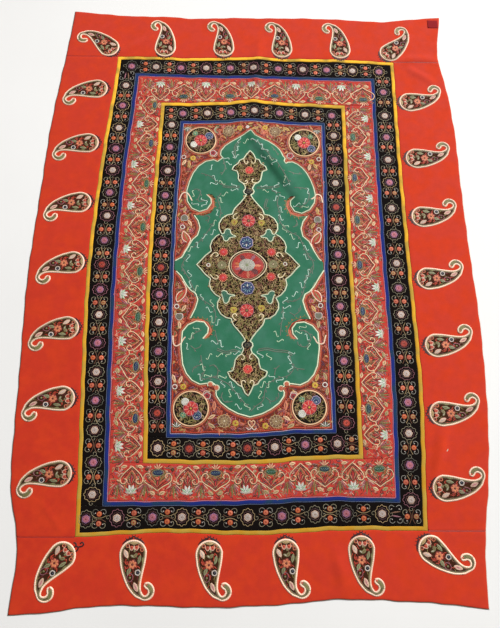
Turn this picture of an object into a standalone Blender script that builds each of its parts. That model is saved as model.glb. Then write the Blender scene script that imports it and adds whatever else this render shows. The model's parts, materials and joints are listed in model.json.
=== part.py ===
"""Embroidered panel of inlaid felted wool, lying face up on a floor.

Lengths in the tables are millimetres in the cloth's own plane: x to the right, y up the panel.
The panel is one pale lining, a layer of face cloths sewn edge to edge on it, and applied
shapes on top. Soft ripples lift all the layers together.
"""
import math

import bmesh
import bpy
from mathutils import Vector

MM = 0.001

# Middle of the cloth's outline, which stands over the origin
MIDDLE = Vector((-1.5, -6.5))

# Thicknesses and gaps
LINING_THICK = 1.0
FACE_THICK = 1.2
APPLIED_THICK = 1.0
GAP = 0.3
LINING_SHOWS = 2.0

FACE_BASE = LINING_THICK + GAP
APPLIED_BASE = FACE_BASE + FACE_THICK + GAP
UPPER_BASE = APPLIED_BASE + APPLIED_THICK + GAP

# Sides in clockwise order from the top left corner
SIDES = ("top", "right", "bottom", "left")
ALONG = {"top": 0, "right": 1, "bottom": 0, "left": 1}
INWARD = {"top": (0, -1), "right": (-1, 0), "bottom": (0, 1), "left": (1, 0)}
SAMPLES = {"edge": 24, "seam": 16}

# Seam readings, equally spaced from corner to corner. The left and right rows give x from the
# top corner down, the top and bottom rows give y from the left corner across.
CLOTH_EDGE = {
    "left": (-718, -732, -749, -764, -770, -777, -783, -780, -773, -768, -759, -718, -724),
    "right": (755, 732, 755, 767, 767, 769, 774, 780, 778, 769, 749, 719, 709),
    "top": (1104, 1093, 1085, 1085, 1078, 1084, 1085, 1087, 1087, 1083, 1076, 1090, 1102),
    "bottom": (-1117, -1109, -1094, -1090, -1093, -1096, -1092, -1086, -1074, -1074, -1079, -1086, -1100),
}
OUTER_FRAME = {
    "left": (-531, -562, -580, -565, -545),
    "right": (552, 551, 556, 562, 542),
    "top": (885, 888, 883, 888, 892, 887, 888, 884, 877),
    "bottom": (-897, -884, -890, -876, -876),
}
MAIN_BORDER = {
    "left": (-457, -481, -490, -481, -466),
    "right": (470, 467, 469, 473, 461),
    "top": (808, 803, 803, 800, 798),
    "bottom": (-805, -803, -799, -788, -791),
}
INNER_FRAME = {
    "left": (-353, -364, -370, -364, -350),
    "right": (351, 350, 350, 354, 353),
    "top": (676, 676, 680, 685, 695, 686, 681, 678, 674),
    "bottom": (-675, -678, -677, -664, -659),
}
FIELD_FRAME = {
    "left": (-275, -286, -290, -286, -278),
    "right": (270, 268, 263, 267, 269),
    "top": (594, 598, 609, 597, 593),
    "bottom": (-593, -593, -591, -579, -576),
}
OUTER_YELLOW = 13.0
OUTER_BLUE = 14.0
INNER_YELLOW = 14.0
INNER_BLUE = 12.0

# Which strip of each border runs through the corner square, clockwise from the top left
LEVEL_CORNERS = ("top", "top", "bottom", "bottom")
OUTER_BLACK_CORNERS = ("top", "top", "right", "bottom")

# Ripples: start and end of the crest, width across it and height, all in millimetres
RIPPLES = (
    {"start": (28, 1010), "end": (-8, 590), "width": 90, "height": 5.0},
    {"start": (-22, 590), "end": (205, 238), "width": 110, "height": 9.0},
    {"start": (640, -520), "end": (556, -750), "width": 60, "height": 6.0},
    {"start": (552, 896), "end": (748, 890), "width": 56, "height": 5.0},
    {"start": (600, 862), "end": (712, 770), "width": 52, "height": 4.0},
    {"start": (-545, 896), "end": (-380, 985), "width": 52, "height": 4.0},
    {"start": (262, -915), "end": (270, -1074), "width": 64, "height": 4.0},
)
RIPPLE_STEPS_LONG = 4
RIPPLE_STEPS_WIDE = 4

# Green cartouche, one quarter of its outline from the apex to the blue fillet:
# out from the axis, up from the centre, down from the centre
CARTOUCHE_CENTRE = Vector((-10, 8))
CARTOUCHE_QUARTER = (
    (0, 548, 535),
    (40, 520, 524),
    (70, 500, 508),
    (96, 480, 488),
    (111, 458, 466),
    (113, 440, 453),
    (104, 428, 438),
    (123, 412, 424),
    (137, 420, 424),
    (166, 413, 428),
    (192, 393, 415),
    (212, 362, 392),
    (225, 325, 361),
    (233, 290, 300),
    (230, 247, 246),
    (212, 218, 222),
    (184, 205, 209),
    (157, 215, 212),
    (142, 240, 232),
    (144, 258, 251),
    (160, 275, 271),
    (140, 274, 268),
    (130, 258, 253),
    (129, 229, 238),
    (143, 201, 213),
    (170, 190, 199),
    (205, 193, 199),
    (189, 170, 163),
    (181, 142, 132),
    (189, 112, 109),
    (206, 95, 98),
    (221, 66, 80),
    (241, 27, 45),
    (257, 12, 20),
)
# The upper right quarter, pushed out of line by the ripple beside it: out and up
CARTOUCHE_UPPER_RIGHT = (
    (0, 548),
    (16, 524),
    (43, 508),
    (68, 498),
    (91, 483),
    (106, 468),
    (115, 452),
    (120, 438),
    (128, 428),
    (124, 414),
    (130, 403),
    (138, 411),
    (156, 414),
    (174, 405),
    (191, 390),
    (208, 366),
    (221, 338),
    (231, 308),
    (236, 280),
    (232, 246),
    (214, 217),
    (185, 202),
    (159, 210),
    (144, 235),
    (145, 254),
    (161, 268),
    (146, 270),
    (132, 256),
    (129, 230),
    (143, 201),
    (170, 190),
    (205, 193),
    (189, 170),
    (181, 142),
    (187, 112),
    (208, 92),
    (225, 56),
    (242, 25),
    (257, 12),
)

# Medallion with its pendants, one quarter of its outline from the tip to the side point:
# out from the axis, up or down from the centre
MEDALLION_CENTRE = Vector((-18, 6))
MEDALLION_QUARTER = (
    (0, 461),
    (14, 436),
    (24, 424),
    (38, 417),
    (42, 404),
    (65, 388),
    (51, 374),
    (43, 355),
    (36, 336),
    (18, 326),
    (10, 308),
    (10, 284),
    (25, 262),
    (40, 241),
    (51, 220),
    (55, 198),
    (74, 195),
    (93, 182),
    (105, 160),
    (105, 140),
    (96, 121),
    (113, 111),
    (128, 93),
    (135, 72),
    (131, 52),
    (150, 36),
    (167, 15),
    (181, 0),
)
# The upper pendant leans to the right from here up
PENDANT_LEAN = {"from": 310, "full": 400, "shift": 4}

# Roundels: centre and radius
ROUNDEL_SIDES = 28
ROUNDELS = {
    "roundel_top_left": ((-197, 510), 56),
    "roundel_top_right": ((190, 505), 57),
    "roundel_bottom_left": ((-203, -500), 57),
    "roundel_bottom_right": ((184, -494), 56),
}

# One boteh, tail up and curled to the left, about the centre of its round head
BOTEH_HEAD_RADIUS = 39.5
BOTEH_HEAD_ARC = (-170, 5, 11)
BOTEH_BACK = ((36, 30), (30, 52), (22, 72), (12, 92), (0, 107), (-12, 118))
BOTEH_CURL_CENTRE = Vector((-41, 104))
BOTEH_CURL_RADIUS = 24.5
BOTEH_CURL_ARC = (58, 252, 8)
BOTEH_CURL_TIP = ((-40, 82), (-37, 90), (-43, 96))
BOTEH_SLOT = ((-49, 99), (-51, 107), (-47, 115), (-40, 119), (-34, 117), (-28, 109))
BOTEH_BELLY = ((-24, 97), (-24, 84), (-26, 70), (-30, 50), (-35, 28), (-38, 8))

# Botehs: centre of the head and turn of the whole motif in degrees
BOTEHS = {
    "boteh_top_1": ((-349, 931), -3),
    "boteh_top_2": ((-118, 934), 0),
    "boteh_top_3": ((112, 934), 0),
    "boteh_top_4": ((343, 934), 1),
    "boteh_corner_top_left": ((-571, 930), 44),
    "boteh_corner_top_right": ((542, 925), -48),
    "boteh_corner_bottom_left": ((-579, -951), 137),
    "boteh_corner_bottom_right": ((549, -930), 229),
    "boteh_left_1": ((-603, 734), 95),
    "boteh_left_2": ((-619, 493), 95),
    "boteh_left_3": ((-627, 246), 96),
    "boteh_left_4": ((-632, 11), 99),
    "boteh_left_5": ((-631, -229), 98),
    "boteh_left_6": ((-624, -469), 95),
    "boteh_left_7": ((-612, -709), 94),
    "boteh_bottom_1": ((-364, -946), 181),
    "boteh_bottom_2": ((-133, -947), 181),
    "boteh_bottom_3": ((101, -942), 183),
    "boteh_bottom_4": ((333, -932), 179),
    "boteh_right_1": ((604, 693), -83),
    "boteh_right_2": ((611, 445), -87),
    "boteh_right_3": ((614, 203), -86),
    "boteh_right_4": ((614, -37), -87),
    "boteh_right_5": ((623, -280), -85),
    "boteh_right_6": ((619, -512), -88),
    "boteh_right_7": ((609, -748), -90),
}

# Plain patch sewn in the top right corner
PATCH_CENTRE = Vector((724, 1067))
PATCH_SIZE = Vector((42, 38))

COLOURS = {
    "lining": (0.60, 0.52, 0.40),
    "red_cloth": (0.62, 0.050, 0.022),
    "yellow_cloth": (0.66, 0.38, 0.030),
    "black_cloth": (0.012, 0.009, 0.008),
    "blue_cloth": (0.018, 0.036, 0.19),
    "border_cloth": (0.50, 0.075, 0.050),
    "field_cloth": (0.30, 0.085, 0.050),
    "green_cloth": (0.022, 0.17, 0.090),
    "medallion_cloth": (0.060, 0.035, 0.016),
    "roundel_cloth": (0.050, 0.035, 0.018),
    "boteh_cloth": (0.10, 0.022, 0.014),
    "patch_cloth": (0.34, 0.008, 0.010),
}
CLOTH_ROUGHNESS = 0.92


def clear_scene():
    """Remove every object that the scene starts with."""
    for obj in list(bpy.data.objects):
        bpy.data.objects.remove(obj, do_unlink=True)


def make_collection(name):
    """Collection that holds every sub-part."""
    collection = bpy.data.collections.new(name)
    bpy.context.scene.collection.children.link(collection)
    return collection


def make_materials():
    """One rough cloth material for each colour."""
    materials = {}
    for name, colour in COLOURS.items():
        material = bpy.data.materials.new(name)
        material.use_nodes = True
        shader = material.node_tree.nodes["Principled BSDF"]
        shader.inputs["Base Color"].default_value = (*colour, 1.0)
        shader.inputs["Roughness"].default_value = CLOTH_ROUGHNESS
        shader.inputs["Metallic"].default_value = 0.0
        materials[name] = material
    return materials


def smooth_reading(readings, share):
    """Reading at a share of the side's length, on a smooth curve through the readings."""
    place = share * (len(readings) - 1)
    k = min(int(place), len(readings) - 2)
    t = place - k
    last = len(readings) - 1
    a, b, c, d = (readings[min(max(k + step, 0), last)] for step in (-1, 0, 1, 2))
    return b + 0.5 * t * (c - a + t * (2 * a - 5 * b + 4 * c - d + t * (3 * (b - c) + d - a)))


def seam_lines(seam, inset, samples):
    """The four sides of a seam as clockwise rows of points, moved inward by the inset."""
    ends = {
        "top": (seam["left"][0], seam["right"][0]),
        "bottom": (seam["left"][-1], seam["right"][-1]),
        "left": (seam["top"][0], seam["bottom"][0]),
        "right": (seam["top"][-1], seam["bottom"][-1]),
    }
    lines = {}
    for side in SIDES:
        along = ALONG[side]
        across_move = INWARD[side][1 - along] * inset
        squeeze = inset if along == 0 else -inset
        first, last = ends[side][0] + squeeze, ends[side][1] - squeeze
        line = []
        for k in range(samples + 1):
            share = k / samples
            point = Vector((0, 0))
            point[along] = first + (last - first) * share
            point[1 - along] = smooth_reading(seam[side], share) + across_move
            line.append(point)
        if side in ("bottom", "left"):
            line.reverse()
        lines[side] = line
    return lines


def loop_of(lines):
    """Closed clockwise outline of a seam."""
    return [point for side in SIDES for point in lines[side][:-1]]


def crossing(line, axis, value):
    """Point where a row of points crosses a coordinate value, and the index after it."""
    for k in range(1, len(line)):
        a, b = line[k - 1], line[k]
        if min(a[axis], b[axis]) <= value <= max(a[axis], b[axis]):
            return a.lerp(b, (value - a[axis]) / (b[axis] - a[axis])), k
    raise ValueError("the row of points never reaches that value")


def after(line, axis, value):
    """The rest of a row of points from a coordinate value on."""
    point, k = crossing(line, axis, value)
    return [point] + line[k:]


def before(line, axis, value):
    """The first stretch of a row of points, up to a coordinate value."""
    point, k = crossing(line, axis, value)
    return line[:k] + [point]


def strip_outline(outer, inner, side, owns_start, owns_end):
    """Outline of the border strip on one side, with or without the corner squares at its ends."""
    k = SIDES.index(side)
    previous, following = SIDES[k - 1], SIDES[(k + 1) % 4]
    along = ALONG[side]
    run = 1 if inner[side][-1][along] > inner[side][0][along] else -1
    outer_line, inner_line = outer[side], inner[side]
    head, tail = [], []
    if owns_start:
        head = after(outer[previous], 1 - along, inner_line[0][1 - along])[:-1]
    else:
        start = inner_line[0][along] + run * GAP
        outer_line = after(outer_line, along, start)
        inner_line = after(inner_line, along, start)
    if owns_end:
        tail = before(outer[following], 1 - along, inner[side][-1][1 - along])[1:]
    else:
        end = inner[side][-1][along] - run * GAP
        outer_line = before(outer_line, along, end)
        inner_line = before(inner_line, along, end)
    return head + outer_line + tail + inner_line[::-1]


def ripple_height(ripple, x, y):
    """Height of one ripple above a point, linear over each of its triangles."""
    start, end = Vector(ripple["start"]), Vector(ripple["end"])
    direction = (end - start).normalized()
    offset = Vector((x, y)) - start
    s = offset.dot(direction) / (end - start).length * RIPPLE_STEPS_LONG
    t = (direction.cross(offset) / ripple["width"] + 0.5) * RIPPLE_STEPS_WIDE
    if not (0 < s < RIPPLE_STEPS_LONG and 0 < t < RIPPLE_STEPS_WIDE):
        return 0.0
    i, j = int(s), int(t)
    u, v = s - i, t - j

    def node(a, b):
        return math.sin(math.pi * a / RIPPLE_STEPS_LONG) * math.sin(math.pi * b / RIPPLE_STEPS_WIDE) ** 2

    low, high = node(i, j), node(i + 1, j + 1)
    if u > v:
        share = low + u * (node(i + 1, j) - low) + v * (high - node(i + 1, j))
    else:
        share = low + v * (node(i, j + 1) - low) + u * (high - node(i, j + 1))
    return ripple["height"] * share


def lift(x, y):
    """Height of the lining's underside above the floor."""
    return sum(ripple_height(ripple, x, y) for ripple in RIPPLES)


def cut_across(mesh, faces, point, normal):
    """Cut the given flat faces along an upright plane."""
    geometry = set(faces)
    for face in faces:
        geometry.update(face.edges)
        geometry.update(face.verts)
    bmesh.ops.bisect_plane(
        mesh, geom=list(geometry), dist=0.01, plane_co=(*point, 0), plane_no=(*normal, 0))


def faces_in(mesh, start, direction, length, width, spans):
    """Faces that reach into one span of a ripple's own rectangle, given in shares of it."""
    across = Vector((-direction.y, direction.x))
    found = []
    for face in mesh.faces:
        long = [(Vector(v.co[:2]) - start).dot(direction) / length for v in face.verts]
        wide = [(Vector(v.co[:2]) - start).dot(across) / width + 0.5 for v in face.verts]
        reaches = all(
            max(shares) > low + 1e-4 and min(shares) < high - 1e-4
            for shares, (low, high) in zip((long, wide), spans))
        if reaches:
            found.append(face)
    return found


def crease(mesh, ripple):
    """Cut a flat piece along the grid and the diagonals of one ripple."""
    start, end = Vector(ripple["start"]), Vector(ripple["end"])
    direction = (end - start).normalized()
    across = Vector((-direction.y, direction.x))
    length, width = (end - start).length, ripple["width"]
    frame = (mesh, start, direction, length, width)
    whole = ((0, 1), (0, 1))

    def corner(s, t):
        return start + direction * length * s + across * width * (t - 0.5)

    for k in range(RIPPLE_STEPS_LONG + 1):
        cut_across(mesh, faces_in(*frame, whole), corner(k / RIPPLE_STEPS_LONG, 0), direction)
    for k in range(RIPPLE_STEPS_WIDE + 1):
        cut_across(mesh, faces_in(*frame, whole), corner(0, k / RIPPLE_STEPS_WIDE), across)
    for i in range(RIPPLE_STEPS_LONG):
        for j in range(RIPPLE_STEPS_WIDE):
            low = (i / RIPPLE_STEPS_LONG, j / RIPPLE_STEPS_WIDE)
            high = ((i + 1) / RIPPLE_STEPS_LONG, (j + 1) / RIPPLE_STEPS_WIDE)
            diagonal = corner(*high) - corner(*low)
            normal = Vector((-diagonal.y, diagonal.x)).normalized()
            spans = ((low[0], high[0]), (low[1], high[1]))
            cut_across(mesh, faces_in(*frame, spans), corner(*low), normal)


def flat_face(outline, hole=None):
    """Flat mesh of an outline, or of the band between an outline and a hole."""
    mesh = bmesh.new()
    edges = []
    for loop in (outline, hole):
        if loop is None:
            continue
        verts = [mesh.verts.new((point.x, point.y, 0)) for point in loop]
        edges += [mesh.edges.new((verts[k - 1], verts[k])) for k in range(len(verts))]
    if hole is None:
        bmesh.ops.contextual_create(mesh, geom=edges)
    else:
        bmesh.ops.bridge_loops(mesh, edges=edges)
    return mesh


def cloth_piece(name, outline, base, thick, material, collection, hole=None):
    """One piece of cloth: its flat outline, creased by the ripples, thickened and lifted."""
    mesh = flat_face(outline, hole)
    for ripple in RIPPLES:
        crease(mesh, ripple)
    grown = bmesh.ops.extrude_face_region(mesh, geom=mesh.faces[:] + mesh.edges[:] + mesh.verts[:])
    top = {item for item in grown["geom"] if isinstance(item, bmesh.types.BMVert)}
    for vert in mesh.verts:
        height = base + lift(vert.co.x, vert.co.y) + (thick if vert in top else 0.0)
        vert.co = Vector((vert.co.x - MIDDLE.x, vert.co.y - MIDDLE.y, height)) * MM
    bmesh.ops.recalc_face_normals(mesh, faces=mesh.faces)
    bmesh.ops.triangulate(mesh, faces=mesh.faces[:])
    data = bpy.data.meshes.new(name)
    mesh.to_mesh(data)
    mesh.free()
    obj = bpy.data.objects.new(name, data)
    obj.data.materials.append(material)
    collection.objects.link(obj)
    return obj


def quarter_outline(quarter, centre, upper_right=None):
    """Closed clockwise outline from one quarter, mirrored to the left and downward."""
    upper = [Vector((row[0], row[1])) for row in quarter]
    lower = [Vector((row[0], -row[-1])) for row in quarter]
    if quarter[-1][1] == 0:
        lower = lower[:-1]
    first = [Vector(row) for row in upper_right] if upper_right else upper
    left = [Vector((-point.x, point.y)) for point in lower + upper[::-1] if point.x > 0]
    return [centre + point for point in first + lower[::-1] + left]


def leaned(outline):
    """The medallion's outline with its upper pendant leaning to the right."""
    start, full = PENDANT_LEAN["from"], PENDANT_LEAN["full"]
    moved = []
    for point in outline:
        share = min(max((point.y - start) / (full - start), 0), 1)
        moved.append(point + Vector((PENDANT_LEAN["shift"] * share, 0)))
    return moved


def arc(centre, radius, first, last, steps):
    """Points along an arc between two angles in degrees."""
    points = []
    for k in range(steps + 1):
        angle = math.radians(first + (last - first) * k / steps)
        points.append(centre + radius * Vector((math.cos(angle), math.sin(angle))))
    return points


def boteh_outline(head, turn):
    """Outline of one boteh at its place on the border."""
    outline = arc(Vector((0, 0)), BOTEH_HEAD_RADIUS, *BOTEH_HEAD_ARC)
    outline += [Vector(point) for point in BOTEH_BACK]
    outline += arc(BOTEH_CURL_CENTRE, BOTEH_CURL_RADIUS, *BOTEH_CURL_ARC)
    outline += [Vector(point) for point in BOTEH_CURL_TIP + BOTEH_SLOT + BOTEH_BELLY]
    angle = math.radians(turn)
    cos, sin = math.cos(angle), math.sin(angle)
    turned = [Vector((p.x * cos - p.y * sin, p.x * sin + p.y * cos)) for p in outline]
    return [Vector(head) + point for point in turned]


def make_border(name, outer, inner, corners, material, collection):
    """Four strips of a border, each with the corner squares that it owns."""
    for k, side in enumerate(SIDES):
        owns_start = corners[k] == side
        owns_end = corners[(k + 1) % 4] == side
        outline = strip_outline(outer, inner, side, owns_start, owns_end)
        cloth_piece(f"{name}_{side}", outline, FACE_BASE, FACE_THICK, material, collection)


def make_fillet(name, seam, width, material, collection):
    """One narrow ring of cloth inside a seam."""
    outer = loop_of(seam_lines(seam, GAP / 2, SAMPLES["seam"]))
    inner = loop_of(seam_lines(seam, width - GAP / 2, SAMPLES["seam"]))
    cloth_piece(name, outer, FACE_BASE, FACE_THICK, material, collection, hole=inner)


def make_face_cloths(materials, collection):
    """The borders, fillets and field, sewn edge to edge on the lining."""
    half = GAP / 2
    count = SAMPLES["seam"]
    edge = seam_lines(CLOTH_EDGE, LINING_SHOWS, SAMPLES["edge"])
    make_border("red_border", edge, seam_lines(OUTER_FRAME, -half, count), LEVEL_CORNERS,
                materials["red_cloth"], collection)
    make_fillet("yellow_fillet_outer", OUTER_FRAME, OUTER_YELLOW, materials["yellow_cloth"], collection)
    make_border("black_band_outer", seam_lines(OUTER_FRAME, OUTER_YELLOW + half, count),
                seam_lines(MAIN_BORDER, -half, count), OUTER_BLACK_CORNERS,
                materials["black_cloth"], collection)
    make_fillet("blue_fillet_outer", MAIN_BORDER, OUTER_BLUE, materials["blue_cloth"], collection)
    make_border("main_border", seam_lines(MAIN_BORDER, OUTER_BLUE + half, count),
                seam_lines(INNER_FRAME, -half, count), LEVEL_CORNERS,
                materials["border_cloth"], collection)
    make_fillet("yellow_fillet_inner", INNER_FRAME, INNER_YELLOW, materials["yellow_cloth"], collection)
    make_border("black_band_inner", seam_lines(INNER_FRAME, INNER_YELLOW + half, count),
                seam_lines(FIELD_FRAME, -half, count), LEVEL_CORNERS,
                materials["black_cloth"], collection)
    make_fillet("blue_fillet_inner", FIELD_FRAME, INNER_BLUE, materials["blue_cloth"], collection)
    field = loop_of(seam_lines(FIELD_FRAME, INNER_BLUE + half, count))
    cloth_piece("field_ground", field, FACE_BASE, FACE_THICK, materials["field_cloth"], collection)


def make_applied_shapes(materials, collection):
    """The cartouche, medallion, roundels, botehs and corner patch, sewn on top."""
    cartouche = quarter_outline(CARTOUCHE_QUARTER, CARTOUCHE_CENTRE, CARTOUCHE_UPPER_RIGHT)
    cloth_piece("green_cartouche", cartouche, APPLIED_BASE, APPLIED_THICK,
                materials["green_cloth"], collection)
    medallion = leaned(quarter_outline(MEDALLION_QUARTER, MEDALLION_CENTRE))
    cloth_piece("medallion", medallion, UPPER_BASE, APPLIED_THICK,
                materials["medallion_cloth"], collection)
    for name, (centre, radius) in ROUNDELS.items():
        outline = arc(Vector(centre), radius, 360, 0, ROUNDEL_SIDES)[:-1]
        cloth_piece(name, outline, APPLIED_BASE, APPLIED_THICK, materials["roundel_cloth"], collection)
    for name, (head, turn) in BOTEHS.items():
        cloth_piece(name, boteh_outline(head, turn), APPLIED_BASE, APPLIED_THICK,
                    materials["boteh_cloth"], collection)
    half = PATCH_SIZE / 2
    corners = ((-1, 1), (1, 1), (1, -1), (-1, -1))
    patch = [PATCH_CENTRE + Vector((half.x * a, half.y * b)) for a, b in corners]
    cloth_piece("corner_patch", patch, APPLIED_BASE, APPLIED_THICK, materials["patch_cloth"], collection)


def main():
    """Build the whole panel."""
    clear_scene()
    collection = make_collection("embroidered_panel")
    materials = make_materials()
    lining = loop_of(seam_lines(CLOTH_EDGE, 0.0, SAMPLES["edge"]))
    cloth_piece("lining", lining, 0.0, LINING_THICK, materials["lining"], collection)
    make_face_cloths(materials, collection)
    make_applied_shapes(materials, collection)


main()
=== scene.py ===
"""Looks of the embroidered panel: its cloths, silk stitches, floor, light and camera.

Lengths in the tables are millimetres in the cloth's own plane, as in the part's source: x to the
right and y up the panel. Points of the plane are complex numbers, x + iy. Angles are degrees.
"""
import json
import math

import bpy
import numpy as np
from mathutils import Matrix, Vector
from mathutils.geometry import delaunay_2d_cdt

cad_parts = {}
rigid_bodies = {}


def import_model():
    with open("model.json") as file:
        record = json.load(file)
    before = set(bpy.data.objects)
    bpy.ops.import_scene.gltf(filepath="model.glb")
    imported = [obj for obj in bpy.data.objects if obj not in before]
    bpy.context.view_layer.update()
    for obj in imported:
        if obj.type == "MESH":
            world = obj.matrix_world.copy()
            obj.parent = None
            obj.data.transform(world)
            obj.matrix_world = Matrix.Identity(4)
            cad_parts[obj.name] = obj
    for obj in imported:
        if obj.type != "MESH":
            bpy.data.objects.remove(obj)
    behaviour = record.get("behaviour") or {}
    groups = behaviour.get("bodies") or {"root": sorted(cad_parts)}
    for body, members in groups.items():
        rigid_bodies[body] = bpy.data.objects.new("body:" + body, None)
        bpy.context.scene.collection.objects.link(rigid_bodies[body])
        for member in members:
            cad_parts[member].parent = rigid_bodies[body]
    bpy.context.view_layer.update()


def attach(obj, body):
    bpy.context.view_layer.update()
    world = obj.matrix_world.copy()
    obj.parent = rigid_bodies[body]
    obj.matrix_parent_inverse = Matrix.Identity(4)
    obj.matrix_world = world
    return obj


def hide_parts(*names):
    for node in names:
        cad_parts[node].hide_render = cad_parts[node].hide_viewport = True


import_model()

RANDOM = np.random.default_rng(7)


def rows_of(columns, *rows):
    """The rows of a table, each with its values under the columns' names."""
    return tuple(dict(zip(columns.split(), row)) for row in rows)


MM = 0.001
MIDDLE = complex(-1.5, -6.5)

# Levels above the lining's underside, from the part's source
LINING_TOP = 1.0
FACE_BASE = 1.3
FACE_TOP = 2.5
APPLIED_BASE = 2.8
APPLIED_TOP = 3.8
UPPER_BASE = 4.1
UPPER_TOP = 5.1
GAP = 0.3
LINING_SHOWS = 2.0

# Cloth nets: the spacing of their points and how the edges roll down at the seams
CLOTH_PITCH = 9.6
LINING_PITCH = 20.0
EDGE_STEP = 8.0
EDGE_ROLL = 2.6
EDGE_FALL = 0.55
SEAM_SAMPLES = 120
SEAM_SWAY = 0.9

SIDES = ("top", "right", "bottom", "left")
ALONG = {"top": 0, "right": 1, "bottom": 0, "left": 1}
INWARD = {"top": -1j, "right": -1, "bottom": 1j, "left": 1}

# Seam readings, equally spaced from corner to corner. The left and right rows give x from the
# top corner down, the top and bottom rows give y from the left corner across.
CLOTH_EDGE = {
    "left": (-718, -732, -749, -764, -770, -777, -783, -780, -773, -768, -759, -718, -724),
    "right": (755, 732, 755, 767, 767, 769, 774, 780, 778, 769, 749, 719, 709),
    "top": (1104, 1093, 1085, 1085, 1078, 1084, 1085, 1087, 1087, 1083, 1076, 1090, 1102),
    "bottom": (-1117, -1109, -1094, -1090, -1093, -1096, -1092, -1086, -1074, -1074, -1079, -1086,
               -1100),
}
OUTER_FRAME = {
    "left": (-531, -562, -580, -565, -545),
    "right": (552, 551, 556, 562, 542),
    "top": (885, 888, 883, 888, 892, 887, 888, 884, 877),
    "bottom": (-897, -884, -890, -876, -876),
}
MAIN_BORDER = {
    "left": (-457, -481, -490, -481, -466),
    "right": (470, 467, 469, 473, 461),
    "top": (808, 803, 803, 800, 798),
    "bottom": (-805, -803, -799, -788, -791),
}
INNER_FRAME = {
    "left": (-353, -364, -370, -364, -350),
    "right": (351, 350, 350, 354, 353),
    "top": (676, 676, 680, 685, 695, 686, 681, 678, 674),
    "bottom": (-675, -678, -677, -664, -659),
}
FIELD_FRAME = {
    "left": (-275, -286, -290, -286, -278),
    "right": (270, 268, 263, 267, 269),
    "top": (594, 598, 609, 597, 593),
    "bottom": (-593, -593, -591, -579, -576),
}
OUTER_YELLOW = 13.0
OUTER_BLUE = 14.0
INNER_YELLOW = 14.0
INNER_BLUE = 12.0
LEVEL_CORNERS = ("top", "top", "bottom", "bottom")
OUTER_BLACK_CORNERS = ("top", "top", "right", "bottom")

# Ripples: start and end of the crest, width across it and height
RIPPLES = rows_of(
    "start end width height",
    ((28, 1010), (-8, 590), 90, 5.0),
    ((-22, 590), (205, 238), 110, 9.0),
    ((640, -520), (556, -750), 60, 6.0),
    ((552, 896), (748, 890), 56, 5.0),
    ((600, 862), (712, 770), 52, 4.0),
    ((-545, 896), (-380, 985), 52, 4.0),
    ((262, -915), (270, -1074), 64, 4.0),
)
RIPPLE_SWAY = 0.07

# Sharper creases: start and end of the crest, width of the flank on the right and on the left of
# the way along it, and height
CREASES = rows_of(
    "start end right left height",
    ((-50, 604), (202, 206), 25, 60, 6.0),
    ((-270, -6), (246, -4), 22, 15, 1.8),
    ((655, -530), (565, -725), 13, 18, 2.6),
    ((-667, -787), (-583, -887), 12, 16, 1.6),
    ((28, 1010), (-8, 640), 16, 30, 2.2),
    ((-620, 985), (-520, 1085), 14, 16, 1.6),
    ((585, 960), (640, 1080), 14, 16, 1.6),
    ((-60, 520), (-150, 330), 40, 26, 1.6),
    ((-140, 300), (-118, 90), 36, 30, 1.4),
    ((-60, -250), (-190, -330), 30, 36, 1.4),
)

# Soft unevenness of the whole cloth: wave lengths across and up, and height
UNEVEN = rows_of(
    "across up height",
    (310, 420, 0.5),
    (-170, 260, 0.4),
    (96, -140, 0.25),
)

# Green cartouche, one quarter from the apex to the blue fillet: out from the axis, up from the
# centre, down from the centre
CARTOUCHE_CENTRE = complex(-10, 8)
CARTOUCHE_QUARTER = (
    (0, 548, 535), (40, 520, 524), (70, 500, 508), (96, 480, 488), (111, 458, 466), (113, 440, 453),
    (104, 428, 438), (123, 412, 424), (137, 420, 424), (166, 413, 428), (192, 393, 415),
    (212, 362, 392), (225, 325, 361), (233, 290, 300), (230, 247, 246), (212, 218, 222),
    (184, 205, 209), (157, 215, 212), (142, 240, 232), (144, 258, 251), (160, 275, 271),
    (140, 274, 268), (130, 258, 253), (129, 229, 238), (143, 201, 213), (170, 190, 199),
    (205, 193, 199), (189, 170, 163), (181, 142, 132), (189, 112, 109), (206, 95, 98), (221, 66, 80),
    (241, 27, 45), (257, 12, 20),
)

# The upper right quarter, pushed out of line by the ripple beside it: out and up
CARTOUCHE_UPPER_RIGHT = (
    (0, 548), (16, 524), (43, 508), (68, 498), (91, 483), (106, 468), (115, 452), (120, 438),
    (128, 428), (124, 414), (130, 403), (138, 411), (156, 414), (174, 405), (191, 390), (208, 366),
    (221, 338), (231, 308), (236, 280), (232, 246), (214, 217), (185, 202), (159, 210), (144, 235),
    (145, 254), (161, 268), (146, 270), (132, 256), (129, 230), (143, 201), (170, 190), (205, 193),
    (189, 170), (181, 142), (187, 112), (208, 92), (225, 56), (242, 25), (257, 12),
)

# Medallion's body, one quarter: out from the axis, up or down from the centre
MEDALLION_CENTRE = complex(-18, 6)
MEDALLION_QUARTER = (
    (9, 275), (16, 262), (27, 247), (38, 234), (50, 220), (55, 208), (57, 198), (74, 195), (93, 182),
    (105, 160), (105, 140), (96, 121), (113, 111), (128, 93), (135, 72), (131, 52), (150, 36),
    (167, 15), (181, 0),
)

# Pendants above and below the body, clockwise: bead, waist, shoulder with its ear, onion, and back
UPPER_PENDANT = (
    (-25, 283), (-34, 289), (-36, 298), (-29, 308), (-32, 321), (-40, 331), (-52, 339), (-56, 350),
    (-55, 362), (-60, 380), (-79, 386), (-73, 400), (-57, 413), (-51, 426), (-36, 434), (-28, 448),
    (-13, 468), (0, 454), (9, 433), (21, 429), (28, 413), (44, 402), (50, 387), (33, 379), (30, 362),
    (26, 343), (17, 333), (5, 327), (-4, 309), (3, 298), (0, 289), (-9, 283),
)

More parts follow.
